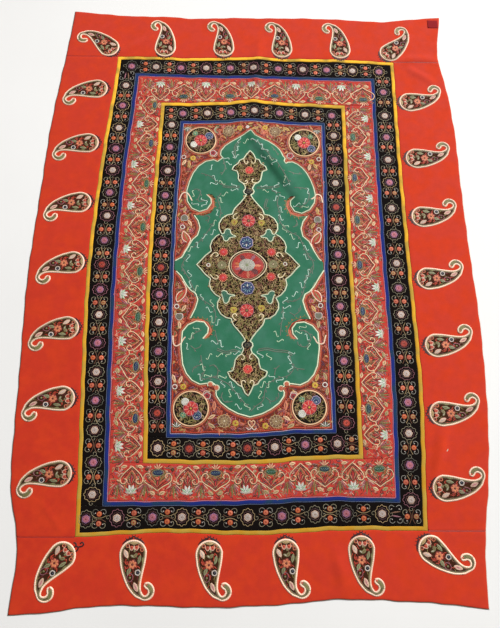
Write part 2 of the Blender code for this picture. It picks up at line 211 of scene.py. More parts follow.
LOWER_PENDANT = (
    (-11, -271), (-3, -277), (-1, -287), (-8, -298), (-4, -311), (8, -321), (18, -333), (20, -350),
    (25, -366), (47, -376), (42, -391), (22, -406), (15, -418), (0, -424), (-7, -441), (-16, -458),
    (-27, -448), (-36, -428), (-50, -421), (-60, -410), (-76, -398), (-85, -378), (-68, -373),
    (-63, -355), (-61, -338), (-51, -323), (-40, -317), (-32, -298), (-38, -287), (-36, -277),
    (-28, -271),
)

# Where the cream cord runs along the cartouche's edge, clockwise: from and to
CARTOUCHE_CORDS = rows_of(
    "from to",
    ((-170, 285), (151, 276)),
    ((207, 200), (243, 28)),
    ((244, -8), (200, -190)),
    ((150, -263), (-175, -268)),
    ((-215, -197), (-270, -21)),
    ((-270, 17), (-215, 198)),
)

# Backs of the hooks, from the tip: the spiky thread on the green, with the orange rows on one side
HOOK_BACKS = rows_of(
    "side line",
    (-1, ((-162, 285), (-143, 262), (-140, 233), (-158, 215), (-185, 205), (-205, 198))),
    (1, ((142, 273), (130, 265), (118, 258), (117, 235), (122, 220), (135, 207), (148, 197),
     (170, 193), (185, 192), (193, 198))),
    (1, ((-162, -268), (-138, -238), (-140, -222), (-152, -202), (-168, -192), (-192, -192),
     (-205, -190), (-213, -197))),
    (-1, ((140, -267), (123, -253), (115, -240), (115, -220), (125, -205), (140, -192), (160, -187),
     (175, -180), (188, -187))),
)

# Arches from the field into the green lobes, with an orange disc under the upper left one
HOOK_ARCHES = (
    ((-269, 258), (-265, 270), (-260, 283), (-253, 289), (-245, 290), (-237, 285), (-230, 273),
     (-222, 257)),
    ((211, 268), (218, 272), (225, 280), (230, 287), (238, 288), (247, 282), (250, 268), (252, 255)),
    ((-271, -253), (-270, -268), (-267, -283), (-260, -289), (-252, -287), (-243, -280), (-237, -268),
     (-229, -257)),
    ((204, -252), (210, -262), (215, -272), (223, -278), (233, -278), (240, -272), (243, -260),
     (247, -247)),
)

# Loops beside the cartouche's body, and the foot and tip of the leaf inside each
FIELD_LOOPS = rows_of(
    "foot tip line",
    ((-232, 98), (-247, 129), ((-235, 93), (-247, 100), (-253, 113), (-252, 128), (-248, 134),
     (-237, 125), (-228, 115), (-223, 102), (-227, 90), (-230, 77), (-237, 65), (-245, 50))),
    ((216, 97), (236, 129), ((220, 93), (232, 98), (240, 112), (242, 128), (238, 135), (227, 128),
     (215, 117), (208, 103), (206, 90), (212, 72), (222, 50))),
    ((-241, -95), (-260, -125), ((-245, -91), (-257, -98), (-264, -110), (-265, -122), (-260, -131),
     (-248, -123), (-238, -112), (-232, -97), (-232, -82), (-237, -68), (-245, -55))),
    ((212, -91), (232, -121), ((213, -86), (225, -90), (233, -100), (236, -113), (234, -127),
     (223, -122), (212, -110), (205, -97), (203, -85), (208, -70), (215, -55))),
)

# Roundels: centre and radius
ROUNDELS = {
    "roundel_top_left": ((-197, 510), 56),
    "roundel_top_right": ((190, 505), 57),
    "roundel_bottom_left": ((-203, -500), 57),
    "roundel_bottom_right": ((184, -494), 56),
}

# One boteh, tail up and curled to the left, about the centre of its round head
BOTEH_HEAD_RADIUS = 39.5
BOTEH_HEAD_ARC = (-170, 5, 22)
BOTEH_BACK = ((36, 30), (30, 52), (22, 72), (12, 92), (0, 107), (-12, 118))
BOTEH_CURL_CENTRE = complex(-41, 104)
BOTEH_CURL_RADIUS = 24.5
BOTEH_CURL_ARC = (58, 252, 14)
BOTEH_CURL_TIP = ((-40, 82), (-37, 90), (-43, 96))
BOTEH_SLOT = ((-49, 99), (-51, 107), (-47, 115), (-40, 119), (-34, 117), (-28, 109))
BOTEH_BELLY = ((-24, 97), (-24, 84), (-26, 70), (-30, 50), (-35, 28), (-38, 8))

# Botehs along each side: across and up of the head, and turn
BOTEH_ROWS = {
    "top": ((-349, 931, -3), (-118, 934, 0), (112, 934, 0), (343, 934, 1)),
    "corner": ((-571, 930, 44), (542, 925, -48), (-579, -951, 137), (549, -930, 229)),
    "left": ((-603, 734, 95), (-619, 493, 95), (-627, 246, 96), (-632, 11, 99), (-631, -229, 98),
             (-624, -469, 95), (-612, -709, 94)),
    "bottom": ((-364, -946, 181), (-133, -947, 181), (101, -942, 183), (333, -932, 179)),
    "right": ((604, 693, -83), (611, 445, -87), (614, 203, -86), (614, -37, -87), (623, -280, -85),
              (619, -512, -88), (609, -748, -90)),
}
BOTEH_CORNERS = ("top_left", "top_right", "bottom_left", "bottom_right")
BOTEHS = {f"boteh_{side}_{BOTEH_CORNERS[k] if side == 'corner' else k + 1}": ((x, y), turn)
          for side, rows in BOTEH_ROWS.items() for k, (x, y, turn) in enumerate(rows)}

# The plain patch in the upper right corner
PATCH_CENTRE = complex(724, 1067)
PATCH_SIZE = complex(42, 38)

# Cloth colours: red, green and blue as linear light
CLOTHS = {
    "lining": (0.60, 0.52, 0.40),
    "red_cloth": (0.555, 0.0315, 0.0098),
    "yellow_cloth": (0.504, 0.252, 0.017),
    "black_cloth": (0.0048, 0.0026, 0.0022),
    "blue_cloth": (0.0090, 0.022, 0.17),
    "border_cloth": (0.50, 0.045, 0.030),
    "field_cloth": (0.185, 0.028, 0.011),
    "green_cloth": (0.028, 0.155, 0.083),
    "medallion_cloth": (0.014, 0.008, 0.004),
    "roundel_cloth": (0.012, 0.008, 0.005),
    "boteh_cloth": (0.045, 0.015, 0.006),
    "patch_cloth": (0.30, 0.006, 0.010),
}

# Painted light: how much paler some cloths are painted toward the lit upper right, by weights across
# and up
PAINTED_LIGHT_SLOPE = {
    "red_cloth": {"colour": (0.575, 0.044, 0.020), "across": 0.5, "up": 0.35},
    "yellow_cloth": {"colour": (0.98, 0.52, 0.036), "across": 0.0, "up": 0.8},
}

# Painted shade: how much darker the silk's dyes are painted at some heights, most just above the lower
# edge
PAINTED_SHADE_BY_HEIGHT = {"heights": (-920, -850, -350), "shares": (0.0, 0.17, 0.0)}

# Silk dyes, as display values
DYES = {
    "cream": (244, 226, 184), "peach": (240, 196, 152), "white": (238, 234, 222),
    "pearl": (208, 194, 184), "tan": (194, 164, 116), "khaki": (170, 146, 88), "olive": (136, 124, 62),
    "sage": (142, 148, 108), "orange": (212, 116, 58), "salmon": (232, 142, 104), "red": (214, 50, 44),
    "brick": (190, 60, 34), "dark_red": (108, 24, 26), "pink": (220, 112, 122), "mauve": (158, 96, 108),
    "blue": (26, 48, 118), "slate": (156, 152, 140), "lilac": (176, 160, 190), "green": (60, 104, 66),
    "leaf_green": (58, 132, 98), "mint": (196, 222, 186), "yellow": (222, 180, 56),
    "brown": (86, 50, 32), "black": (20, 15, 14), "navy": (22, 36, 78), "wine": (62, 12, 14),
    "copper": (200, 108, 74), "blush": (226, 186, 160), "shell": (255, 220, 192),
    "gold": (214, 172, 96), "mustard": (190, 164, 58), "dusk": (100, 112, 96), "ivory": (224, 230, 196),
    "stone": (172, 171, 158), "scarlet": (180, 40, 24), "apricot": (244, 196, 152),
    "coral": (222, 126, 86), "cobalt": (22, 48, 98), "frost": (196, 224, 208), "tomato": (208, 84, 58),
    "maroon": (128, 34, 24), "reed": (134, 128, 84), "bone": (150, 140, 112), "forest": (40, 84, 46),
    "ink": (24, 52, 60), "orchid": (156, 106, 146), "seafoam": (142, 186, 184), "umber": (128, 84, 56),
    "deep_green": (46, 110, 82), "crimson": (168, 44, 52), "faded": (112, 108, 94),
    "slate_blue": (86, 100, 134), "rose": (196, 112, 128),
}

# Stitches: widths of a single row and of close rows, length of a link, steps along a line, heights
# of single and close rows and of their edges, and how much a dye's brightness varies
THREAD = 2.4
ROW = 2.3
LINK = 3.4
STEP = 3.8
FINE_STEP = 3.0
THREAD_HEIGHT = 0.75
ROW_HEIGHT = 0.62
EDGE_HEIGHT = 0.02
DYE_SPREAD = 0.07

# Rises of one layer of stitches over another, of motifs over a ground and of the knobs, and how far
# the stitches on the joints sink in
LAYER = 0.2
MOTIF_RISE = 0.25
KNOB_RISE = 0.9
JOINT_SINK = 0.45

# Small curls scattered on a ground: unevenness of their net in shares of its spacing, length and sway
NET_JITTER = 0.38
SCATTERED_LENGTH = 12
SCATTERED_SWAY = 0.25

# The left tip of the cartouche, which reaches the blue fillet
CARTOUCHE_TIP = {"left_of": -260, "reach": 9}

# Cross-section of the cord along an applied shape's edge: offset in shares of the width, from the
# outer side to the inner, height above the shape's top, and place across the row of stitches
CORD_STEP = 3.2
CORD = rows_of(
    "offset height row",
    (-0.5, -1.35, 0.12),
    (-0.33, 0.15, 0.26),
    (0.0, 1.05, 0.5),
    (0.3, 0.7, 0.74),
    (0.5, 0.0, 0.88),
)

# Black bands: places of the flowers and of the orange pairs along each side, and the colour of
# each flower's heart: w white, p pink, r dull red
BLACK_BANDS = {
    "outer": {
        "top": {
            "flowers": (-475, -380, -283, -184, -90, 0, 97, 193, 287, 388, 492),
            "hearts": "pwpwpwpwpwp",
            "pairs": (-421, -328, -235, -134, -38, 50, 143, 243, 340, 440),
        },
        "bottom": {
            "flowers": (-515, -420, -311, -220, -122, -16, 90, 193, 291, 403),
            "hearts": "pwpwpwpwpw",
            "pairs": (-475, -368, -265, -169, -70, 40, 140, 240, 345),
        },
        "left": {
            "flowers": (752, 660, 561, 471, 380, 287, 194, 97, 4, -89, -180, -280, -380, -475, -571,
                        -673, -771),
            "hearts": "wpwpwpwprpwpwpwpw",
            "pairs": (705, 611, 516, 424, 329, 238, 140, 47, -41, -137, -230, -331, -425, -525, -620,
                      -718),
        },
        "right": {
            "flowers": (737, 630, 535, 438, 342, 236, 131, 20, -74, -171, -275, -378, -475, -576, -677,
                        -784),
            "hearts": "pwpwpwpwpwrwpwpw",
            "pairs": (786, 690, 580, 492, 390, 298, 187, 75, -18, -123, -222, -322, -427, -522, -622,
                      -730, -834),
        },
    },
    "inner": {
        "top": {
            "flowers": (-268, -175, -86, 4, 100, 197, 299),
            "hearts": "pwpwpwp",
            "pairs": (-313, -219, -122, -36, 50, 145, 247),
        },
        "bottom": {
            "flowers": (-305, -204, -112, -18, 70, 168, 272),
            "hearts": "wrwrwpw",
            "pairs": (-254, -160, -64, 19, 115, 217, 318),
        },
        "left": {
            "flowers": (577, 480, 380, 278, 186, 90, -5, -105, -205, -308, -411, -515),
            "hearts": "wpwpwprpwpwr",
            "pairs": (530, 433, 329, 230, 143, 40, -55, -153, -250, -358, -462, -558),
        },
        "right": {
            "flowers": (538, 434, 337, 238, 152, 51, -46, -143, -237, -337, -439, -544),
            "hearts": "wpwrwpwpwpwr",
            "pairs": (585, 482, 382, 280, 188, 100, 3, -93, -190, -289, -388, -490),
        },
    },
}
# The seams beside each band: the outer one, the fillet's width inside it and the inner one
BAND_SEAMS = {
    "outer": (OUTER_FRAME, OUTER_YELLOW, MAIN_BORDER),
    "inner": (INNER_FRAME, INNER_YELLOW, FIELD_FRAME),
    "main": (MAIN_BORDER, OUTER_BLUE, INNER_FRAME),
}
SIDE_TURN = {"bottom": 0, "top": 180, "left": -90, "right": 90}
FLOWER_RADIUS = 26.0
FLOWER_SQUEEZE = 0.84
PAIR_OUT = 13.5

# Half of the curl round one orange disc, half of a stem between two flowers, and the small side curl
PAIR_CURL = ((3, 22), (8, 26), (14, 26.5), (18.5, 23), (19.5, 17), (16, 12.5), (12, 15.5))
STEM = ((0, 1.8), (8, 2.6), (15, 5.5), (21, 9))
SIDE_CURL = ((20, -5), (25, -7.5), (30, -5), (31, 0), (27, 3), (24, 0.5))

BAND_WIDTHS = {"outer": 62.0, "inner": 62.0, "main": 105.0}

# Inside of a boteh: leaves from their own foot
BOTEH_LEAVES = rows_of(
    "at turn length width edge inside",
    ((10, -32), 180, 24, 9, "tan", "khaki"),
    ((27, -14), 115, 27, 14, "blush", "pearl"),
    ((8, 2), 150, 13, 8, "reed", "pearl"),
    ((-1, 10), 226, 17, 11, "reed", "umber"),
    ((-17, 27), 257, 25, 10, "sage", "umber"),
    ((-29, 26), 266, 18, 5, "reed", "olive"),
    ((15, 58), 248, 22, 11, "sage", "umber"),
    ((-17, 105), 294, 28, 14, "blush", "rose"),
    ((-47, 84), 126, 32, 15, "reed", "olive"),
    ((-36, 82), 150, 14, 7, "copper", "red"),
)

BOTEH_TULIPS = ((5, -19), (-10, -19))
BOTEH_BUDS = ((17, -25), (-19, -24), (-27, -13))
BOTEH_FLOWER = (1, 29)
BOTEH_RING = (-16, 52)
BOTEH_SEED = (7, 66)
BOTEH_CURLS = (
    ((24, 20), 100), ((24, 33), 110), ((-22, 40), -60), ((20, 12), 60), ((2, 50), 20), ((-24, 6), -80),
)
BOTEH_GROUND = (
    (14, 8), (-8, -4), (12, -8), (22, 42), (-4, 64), (-16, 66), (0, 80), (12, 76), (-20, 82), (4, 92),
    (-6, 108), (-26, 108), (26, 2), (-14, 12), (30, 16), (-2, 44), (-8, 48),
)

# Right half of the dark bracket on each boteh's head, and the sprig on the lower left corner's
BOTEH_CROWN = ((0, -52), (4, -49), (11, -46), (20, -42), (28, -36), (33, -29))
BOTEH_SPRIG = (
    ((-543, -940), (-534, -935), (-530, -926), (-520, -923), (-516, -917), (-521, -912), (-527, -916)),
    ((-530, -926), (-538, -923), (-540, -915), (-547, -913)),
    ((-545, -927), (-538, -923)),
)

# Main border: places along each side where the cream arches point inward and outward
MAIN_ARCHES = {
    "bottom": {"inward": (-382, -206, -23, 151, 317), "outward": (-300, -118, 57, 227, 402)},
    "top": {"inward": (-358, -183, -8, 165, 341), "outward": (-268, -90, 82, 253, 423)},
    "left": {
        "inward": (578, 405, 235, 65, -105, -273, -443, -622),
        "outward": (663, 495, 325, 150, -20, -187, -360, -533),
    },
    "right": {
        "inward": (615, 450, 275, 100, -72, -240, -410, -582),
        "outward": (533, 360, 188, 12, -160, -328, -497),
    },
}

# Right halves of the arches and of the lines that follow them, on the strip's middle line
ARCH_IN = ((0, 46), (13, 35), (26, 22), (33, 10), (32, -2), (24, -6), (16, -2), (15, 6), (22, 9))
ARCH_OUT = ((0, -26), (16, -14), (32, -5), (41, 4), (42, 16), (35, 25), (26, 24), (22, 16), (27, 11))
ARCH_LINK = ((33, 4), (38, 2), (44, 5))

# Petals of a lotus: turn from its middle line, length, width and dye
LOTUS = rows_of(
    "turn length width dye",
    (80, 18, 7.0, "pearl"),
    (48, 22, 8.0, "mint"),
    (16, 25, 8.5, "white"),
)

# Lines nested inside the arches: how far in, dye and width
NESTED = rows_of(
    "in dye width",
    (6.0, "brown", 2.4),
    (9.5, "salmon", 2.0),
    (13.0, "olive", 2.4),
    (17.0, "dark_red", 2.4),
)

# Leaves that fan outward between two arches: turn from straight outward, length, width and dyes
FAN_LEAVES = rows_of(
    "turn length width dye vein",
    (-48, 30, 3.4, "blush", "brown"),
    (-33, 38, 4.4, "mauve", "dark_red"),
    (-18, 43, 5.4, "umber", "sage"),
    (-2, 46, 6.0, "olive", "brown"),
    (15, 43, 5.0, "umber", "olive"),
    (31, 38, 4.4, "crimson", "salmon"),
    (48, 30, 3.4, "blush", "brown"),
)

# Hooks without discs that fill two corners of the outer black band
BAND_HOOKS = rows_of(
    "side at",
    ("left", (-491, 797)), ("bottom", (445, -827)),
)

# Couched threads beside the blue fillets
SEAM_THREADS = rows_of(
    "seam inset dye width",
    ("main", -0.6, "slate_blue", 1.8),
    ("main", OUTER_BLUE - 1.2, "rose", 2.6),
    ("field", -0.6, "slate_blue", 1.8),
    ("field", INNER_BLUE - 1.0, "lilac", 2.2),
)

# Small curls on the grounds: their dyes and spacing
MEDALLION_GROUND = ("olive", "tan", "umber", "olive", "khaki", "umber")
GROUND_PITCH = {"border": 9.5, "field": 7.4, "roundel": 6.9, "medallion": 6.7}
BORDER_GROUND = (
    "olive", "brown", "mauve", "tan", "salmon", "dark_red", "wine", "brick", "sage", "blush",
)
FIELD_GROUND = (
    "copper", "salmon", "rose", "brick", "tomato", "olive", "tan", "maroon", "mauve", "dark_red",
    "brown", "copper", "forest",
)

# Round knobs on the cartouche's edge, beside the lower roundels
CARTOUCHE_KNOBS = rows_of(
    "at turn",
    ((-141, -420), 100), ((-121, -431), 5), ((111, -417), 85), ((92, -432), 175),
)

# Motifs on the spandrels, as they are sewn
FIELD_PLACES = rows_of(
    "kind at turn",
    ("fan", (-247, 566), 180), ("crescent", (-133, 557), 0), ("rosette", (-93, 553), 0),
    ("yellow", (-52, 567), 0), ("small", (-22, 570), 0), ("leaf", (5, 565), 20),
    ("yellow", (44, 570), 10), ("rosette", (81, 553), 10), ("leaf", (125, 565), -30),
    ("fan", (240, 561), 180), ("bud", (-144, 450), 40), ("bud", (132, 442), -40),
    ("ring", (-258, 438), 0), ("yellow", (-224, 434), 0), ("leaf", (-256, 415), 60),
    ("leaf", (-237, 407), 100), ("yellow", (216, 424), 0), ("leaf", (207, 400), 80),
    ("leaf", (230, 405), 120), ("ring", (244, 436), 0), ("ring", (-258, -428), 0),
    ("yellow", (-230, -428), 0), ("leaf", (-262, -400), 110), ("leaf", (-240, -405), 70),
    ("bud", (-154, -449), 200), ("fan", (-247, -560), 0), ("rosette", (-93, -540), 0),
    ("yellow", (-57, -547), 0), ("leaf", (-135, -527), 30), ("leaf", (-135, -555), -30),
    ("tall_bud", (-127, -492), 0), ("ring", (238, -418), 0), ("yellow", (205, -420), 0),
    ("leaf", (212, -395), 70), ("leaf", (240, -390), 110), ("leaf", (245, -440), 80),
    ("bud", (136, -449), 160), ("fan", (235, -556), 0), ("rosette", (75, -540), 12),
    ("yellow", (40, -555), 0), ("leaf", (110, -530), 150), ("leaf", (122, -555), 30),
    ("tall_bud", (107, -490), 0), ("heart", (-5, -548), 0), ("cup", (-247, 188), 0),
    ("cup", (232, 187), 0), ("cup", (-252, -185), 180), ("cup", (224, -178), 180),
    ("ring", (-253, 152), 0), ("ring", (235, 147), 0), ("ring", (-262, -148), 0),
    ("ring", (232, -141), 0), ("leaf", (-247, 222), 80), ("leaf", (-227, 168), 120),
    ("leaf", (232, 222), 100), ("leaf", (215, 162), 60), ("leaf", (-238, -155), 60),
    ("leaf", (-250, -215), 100), ("leaf", (208, -153), 120), ("leaf", (223, -210), 80),
    ("curl", (-223, 137), 0), ("curl", (203, -125), 90), ("curl", (205, 140), 180),
    ("curl", (-235, -125), 270),
)

# Lines that follow the cartouche's outline on the spandrels: how far out, dye and width
CARTOUCHE_ECHOES = rows_of(
    "out dye width",
    (5.8, "copper", 3.4),
    (9.6, "brick", 2.6),
    (13.6, "dark_red", 2.4),
)

# Dyes on the lower spandrels
FIELD_LOWER = (
    "copper", "rose", "maroon", "brick", "dark_red", "olive", "mauve", "tomato", "wine", "navy",
    "umber", "copper",
)

# Flowers on each roundel
ROUNDEL_FLOWERS = {
    "roundel_top_left": {"white": (-222, 492), "blue": (-166, 530), "green": (-218, 540)},
    "roundel_top_right": {"white": (167, 528), "blue": (217, 480), "green": (214, 532)},
    "roundel_bottom_left": {"white": (-222, -478), "blue": (-182, -522), "green": (-228, -522)},
    "roundel_bottom_right": {"white": (160, -515), "blue": (207, -470), "green": (160, -468)},
}

# Spandrels: share of leaves among the curls, length of a curl, height that the lower dyes start at
FIELD_LEAF_SHARE = 0.1
FIELD_CURL_LENGTH = 13
FIELD_LOWER_FROM = -300

# A second tone that some cloths have taken on in places
TINTS = {
    "yellow_cloth": (0.48, 0.30, 0.042),
    "blue_cloth": (0.010, 0.040, 0.095),
    "red_cloth": (0.60, 0.040, 0.0095),
    "green_cloth": (0.045, 0.175, 0.108),
}

# Coloured sectors of the medallion's egg-shaped heart
HEART_SECTORS = rows_of(
    "turn dye width",
    (90, "scarlet", 28), (122, "dark_red", 20), (150, "scarlet", 20), (170, "orange", 15),
    (-172, "salmon", 8), (-160, "rose", 12), (-135, "dark_red", 15), (-112, "scarlet", 22),
    (-88, "copper", 15), (-66, "scarlet", 20), (-42, "dark_red", 24), (-18, "brick", 16),
    (0, "salmon", 13), (20, "crimson", 17), (40, "scarlet", 17), (58, "mauve", 16),
)

HEART = {"centre": (-19, 4), "radius": 53.0, "long": 1.15, "point": 0.24}

# Trefoils on the left of the medallion, open at its edge, upper and lower
TREFOILS = (
    ((-114, 125), (-104, 127), (-100, 139), (-93, 145), (-83, 141), (-81, 131), (-75, 122.5),
     (-62, 116), (-75, 113), (-85, 110), (-90, 101), (-98, 98), (-105, 104), (-107.5, 114),
     (-114, 120)),
    ((-110, -94), (-102, -90), (-92, -94), (-87, -102), (-62, -107.5), (-79, -112), (-85, -129),
     (-94, -137), (-101, -131), (-104, -117), (-110, -102)),
)

# Places of the flowers on the medallion and its pendants
MEDALLION_BLUE = ((-24, 92), (-20, -80))
MEDALLION_RED = ((-105, 55), (64, 56), (-105, -42), (62, -37))
MEDALLION_OLIVE = ((-110, 5), (70, 10))
MEDALLION_RINGS = ((-157, 5), (112, 12))
MEDALLION_LARGE = ((-17, 178), (-22, -162))
MEDALLION_YELLOW = ((-68, 172), (29, 170), (-67, -160), (28, -153))
MEDALLION_BEADS = ((-17, 296), (-20, -285))
PENDANT_FLOWERS = ((-15, 384), (-18, -368))

# Cream curls on the medallion's shoulders and on the pendants
MEDALLION_SCROLLS = (
    ((-150, 36), (-140, 50), (-128, 52), (-124, 42), (-132, 38)),
    ((106, 38), (97, 52), (86, 54), (82, 45), (90, 40)),
    ((-150, -30), (-138, -45), (-126, -47), (-122, -38), (-130, -33)),
    ((112, -22), (103, -36), (91, -40), (86, -31), (94, -26)),
    ((-58, 208), (-70, 200), (-72, 188), (-62, 184), (-57, 192)),
    ((20, 207), (33, 200), (36, 188), (27, 184), (21, 192)),
    ((-58, -198), (-68, -190), (-70, -178), (-61, -174), (-56, -182)),
    ((22, -198), (32, -190), (34, -178), (26, -174), (20, -182)),
    ((-36, 434), (-33, 419), (-26, 412), (-20, 417), (-22, 424)),
    ((9, 433), (7, 420), (1, 413), (-5, 417), (-6, 424)),
    ((-40, 331), (-27, 328), (-22, 335), (-25, 343), (-30, 337)),
    ((17, 333), (1, 333), (-5, 340), (-2, 348), (3, 345)),
    ((-40, -317), (-32, -321), (-30, -330), (-35, -336), (-40, -332)),
    ((-3, -313), (-10, -319), (-12, -328), (-7, -334), (-3, -330)),
    ((-36, -428), (-39, -414), (-36, -407), (-28, -407), (-25, -413)),
    ((0, -424), (3, -414), (-1, -407), (-8, -407), (-10, -414)),
)

# One small pale scroll of the green ground, and across, up and turn of each of them
SCROLL = ((-11, 5), (-13, 1), (-9, -2), (-3, 0), (3, 1), (9, 3), (12, 0), (10, -4))
GREEN_SCROLLS = (
    (-53, 513, 65), (-27, 508, 50), (3, 510, -25), (20, 495, -45), (33, 480, -80), (42, 465, -20),
    (62, 430, -50), (-58, 477, 80), (-75, 450, -75), (-62, 443, 50), (-100, 433, 0), (-92, 413, -35),
    (-154, 395, 80), (-142, 350, -60), (-115, 332, -40), (-145, 327, -10), (-70, 322, -25),
    (-68, 303, 15), (-103, 285, 45), (-118, 260, -70), (-130, 208, 85), (-140, 168, 70),
    (-143, 132, 65), (-173, 115, 52), (-219, 285, -80), (-210, 243, -10), (-178, 258, -30),
    (-178, 240, 30), (-198, 82, -80), (-222, 66, 60), (-229, 30, 65), (37, 437, -40), (77, 412, 35),
    (115, 343, 80), (85, 325, 40), (122, 322, 10), (40, 320, 15), (45, 300, -30), (77, 302, -35),
    (82, 270, 65), (105, 278, -30), (200, 300, 85), (188, 258, 65), (158, 243, 30), (187, 235, 0),
    (100, 225, -75), (98, 193, -60), (117, 160, -10), (112, 143, -40), (138, 118, -60), (160, 85, 70),
    (186, 75, -55), (185, 40, -60), (-222, -28, -55), (-219, -68, -80), (-198, -83, 65),
    (-177, -115, -60), (-142, -137, -60), (-152, -160, -50), (-141, -195, -75), (-120, -205, 70),
    (-193, -228, -10), (-208, -254, 65), (-222, -290, -85), (-131, -276, -30), (-109, -280, -70),
    (-112, -320, 30), (-147, -325, 55), (-168, -362, -65), (-176, -396, -70), (-150, -391, -5),
    (-103, -395, -10), (-100, -420, -50), (-71, -420, -60), (-77, -449, -80), (-50, -457, -55),
    (-49, -493, -45), (-19, -494, -40), (-83, -318, 30), (-54, -312, 30), (-50, -294, -15),
    (193, -19, 80), (184, -48, 65), (167, -67, -70), (145, -100, 50), (110, -124, 50), (117, -148, 20),
    (103, -178, 75), (168, -220, 5), (153, -238, -20), (182, -254, -70), (188, -288, 65),
    (78, -244, -60), (92, -268, 20), (129, -311, -10), (122, -335, -70), (124, -367, 45),
    (62, -393, -15), (88, -404, 20), (33, -419, 60), (52, -419, 75), (23, -454, 70), (23, -494, 35),
    (23, -317, -40), (53, -325, -45),
)

# Faded stems on the green, some of them twin lines
GREEN_TWIN_STEMS = (
    ((-50, 510), (-67, 485), (-71, 435)),
    ((-112, 318), (-84, 314), (-50, 316)),
    ((12, 312), (44, 314), (75, 316), (96, 322)),
    ((-121, -300), (-92, -310), (-67, -304), (-50, -308)),
    ((17, -302), (46, -297), (75, -303), (112, -306), (133, -317)),
    ((50, 268), (42, 235), (54, 227)),
)
GREEN_STEMS = (
    ((-112, 431), (-104, 393), (-117, 364)),
    ((-192, 370), (-162, 360), (-137, 339), (-121, 327), (-100, 318)),
    ((67, 302), (84, 296), (100, 293)),
    ((-117, 289), (-129, 264), (-121, 235), (-117, 210), (-121, 189)),
    ((-137, 177), (-158, 143), (-179, 110), (-200, 85), (-212, 72)),
    ((-181, 193), (-162, 198), (-158, 185), (-171, 177)),
    ((-217, 302), (-204, 304), (-192, 293), (-200, 256), (-162, 260)),
    ((129, 377), (158, 370), (179, 372)),
    ((87, 414), (117, 360), (133, 322)),
    ((150, 310), (187, 310), (204, 293), (196, 256), (175, 239), (150, 239)),
    ((92, 281), (87, 247), (96, 210), (92, 189), (108, 156), (133, 135), (162, 118), (175, 89),
     (192, 52), (204, 27)),
    ((154, 185), (158, 164), (142, 156)),
    ((-8, 514), (17, 502), (33, 477), (54, 452), (67, 431), (87, 422)),
    ((67, 485), (83, 464), (92, 443)),
    ((-246, -8), (-229, -38), (-212, -71), (-204, -100), (-179, -121), (-154, -138), (-133, -158),
     (-129, -188), (-133, -208)),
    ((-129, -233), (-125, -254), (-117, -283)),
    ((-175, -233), (-200, -246), (-210, -267)),
    ((-210, -288), (-196, -298), (-179, -292), (-175, -283)),
    ((-175, -321), (-171, -346), (-162, -375), (-171, -396), (-162, -404), (-133, -396), (-92, -412),
     (-75, -425), (-54, -450), (-33, -475), (-12, -500)),
    ((-146, -358), (-129, -354), (-117, -371), (-121, -392), (-133, -396)),
    ((-202, -379), (-196, -362), (-175, -354)),
    ((-100, -446), (-104, -462), (-92, -479), (-67, -475)),
    ((121, -312), (129, -346), (142, -362), (171, -367)),
    ((138, -362), (117, -388), (75, -400), (50, -417), (38, -442), (33, -471), (8, -492), (-8, -508)),
    ((88, -354), (75, -367), (71, -388)),
    ((42, -462), (62, -475), (83, -462), (83, -446)),
    ((158, -233), (179, -233), (196, -258), (179, -288), (154, -283), (150, -271)),
    ((100, -146), (104, -179), (96, -208), (92, -250)),
    ((100, -129), (121, -125), (146, -125), (171, -100), (179, -62), (196, -25), (204, 0)),
    ((125, -167), (142, -175), (162, -158), (162, -142)),
    ((-232, 45), (-250, 0), (-235, -30)),
    ((180, 55), (205, 35), (212, 0), (200, -20), (180, -45)),
)

# Lights, sky and camera, in metres and watts
LIGHTS = {
    "light_key": {"place": (9.0, 9.0, 9.4), "size": 3.5, "power": 3640.0},
    "light_fill": {"place": (0.5, 0.3, 4.0), "size": 3.6, "power": 40.0},
}
SKY_STRENGTH = 0.20
CAMERA_PLACE = (-0.04777686, -0.86798626, 2.11344299)
CAMERA_TURN = (0.32071702, -0.01732252, 0.00843586)
CAMERA_LENS = 37.26
FLOOR_REACH = 9.0


def smooth_reading(readings, share):
    """Readings at shares of the side's length, on a smooth curve through them."""
    values = np.asarray(readings, float)
    place = np.asarray(share) * (len(values) - 1)
    k = np.minimum(place.astype(int), len(values) - 2)
    t = place - k
    a, b, c, d = (values[np.clip(k + step, 0, len(values) - 1)] for step in (-1, 0, 1, 2))
    return b + 0.5 * t * (c - a + t * (2 * a - 5 * b + 4 * c - d + t * (3 * (b - c) + d - a)))


def seam_lines(seam, inset):
    """The four sides of a seam as clockwise rows of points, moved inward by the inset."""
    ends = {
        "top": (seam["left"][0], seam["right"][0]),
        "bottom": (seam["left"][-1], seam["right"][-1]),
        "left": (seam["top"][0], seam["bottom"][0]),
        "right": (seam["top"][-1], seam["bottom"][-1]),
    }
    share = np.linspace(0, 1, SEAM_SAMPLES + 1)
    lines = {}
    for k, side in enumerate(SIDES):
        squeeze = inset if ALONG[side] == 0 else -inset
        first, last = ends[side][0] + squeeze, ends[side][1] - squeeze
        run = first + (last - first) * share
        phase = seam["top"][0] + 2.0 * k
        sway = SEAM_SWAY * (np.sin(run / 21 + phase) + 0.7 * np.sin(run / 11.3 + 2 * phase))
        sway = sway * np.clip(12 * share * (1 - share), 0, 1)
        reading = smooth_reading(seam[side], share) + sway
        line = run + 1j * reading if ALONG[side] == 0 else reading + 1j * run
        line = line + INWARD[side] * inset
        lines[side] = line[::-1] if side in ("bottom", "left") else line
    return lines


def loop_of(lines):
    """Closed clockwise outline of a seam."""
    return np.concatenate([lines[side][:-1] for side in SIDES])


def coordinate(points, axis):
    """x of points for axis 0, y for axis 1."""
    return points.real if axis == 0 else points.imag


def crossing(line, axis, value):
    """Point where a row of points crosses a coordinate value, and the index after it."""
    side = coordinate(line, axis) - value
    k = int(np.argmax(side[:-1] * side[1:] <= 0)) + 1
    share = side[k - 1] / (side[k - 1] - side[k])
    return line[k - 1] + share * (line[k] - line[k - 1]), k


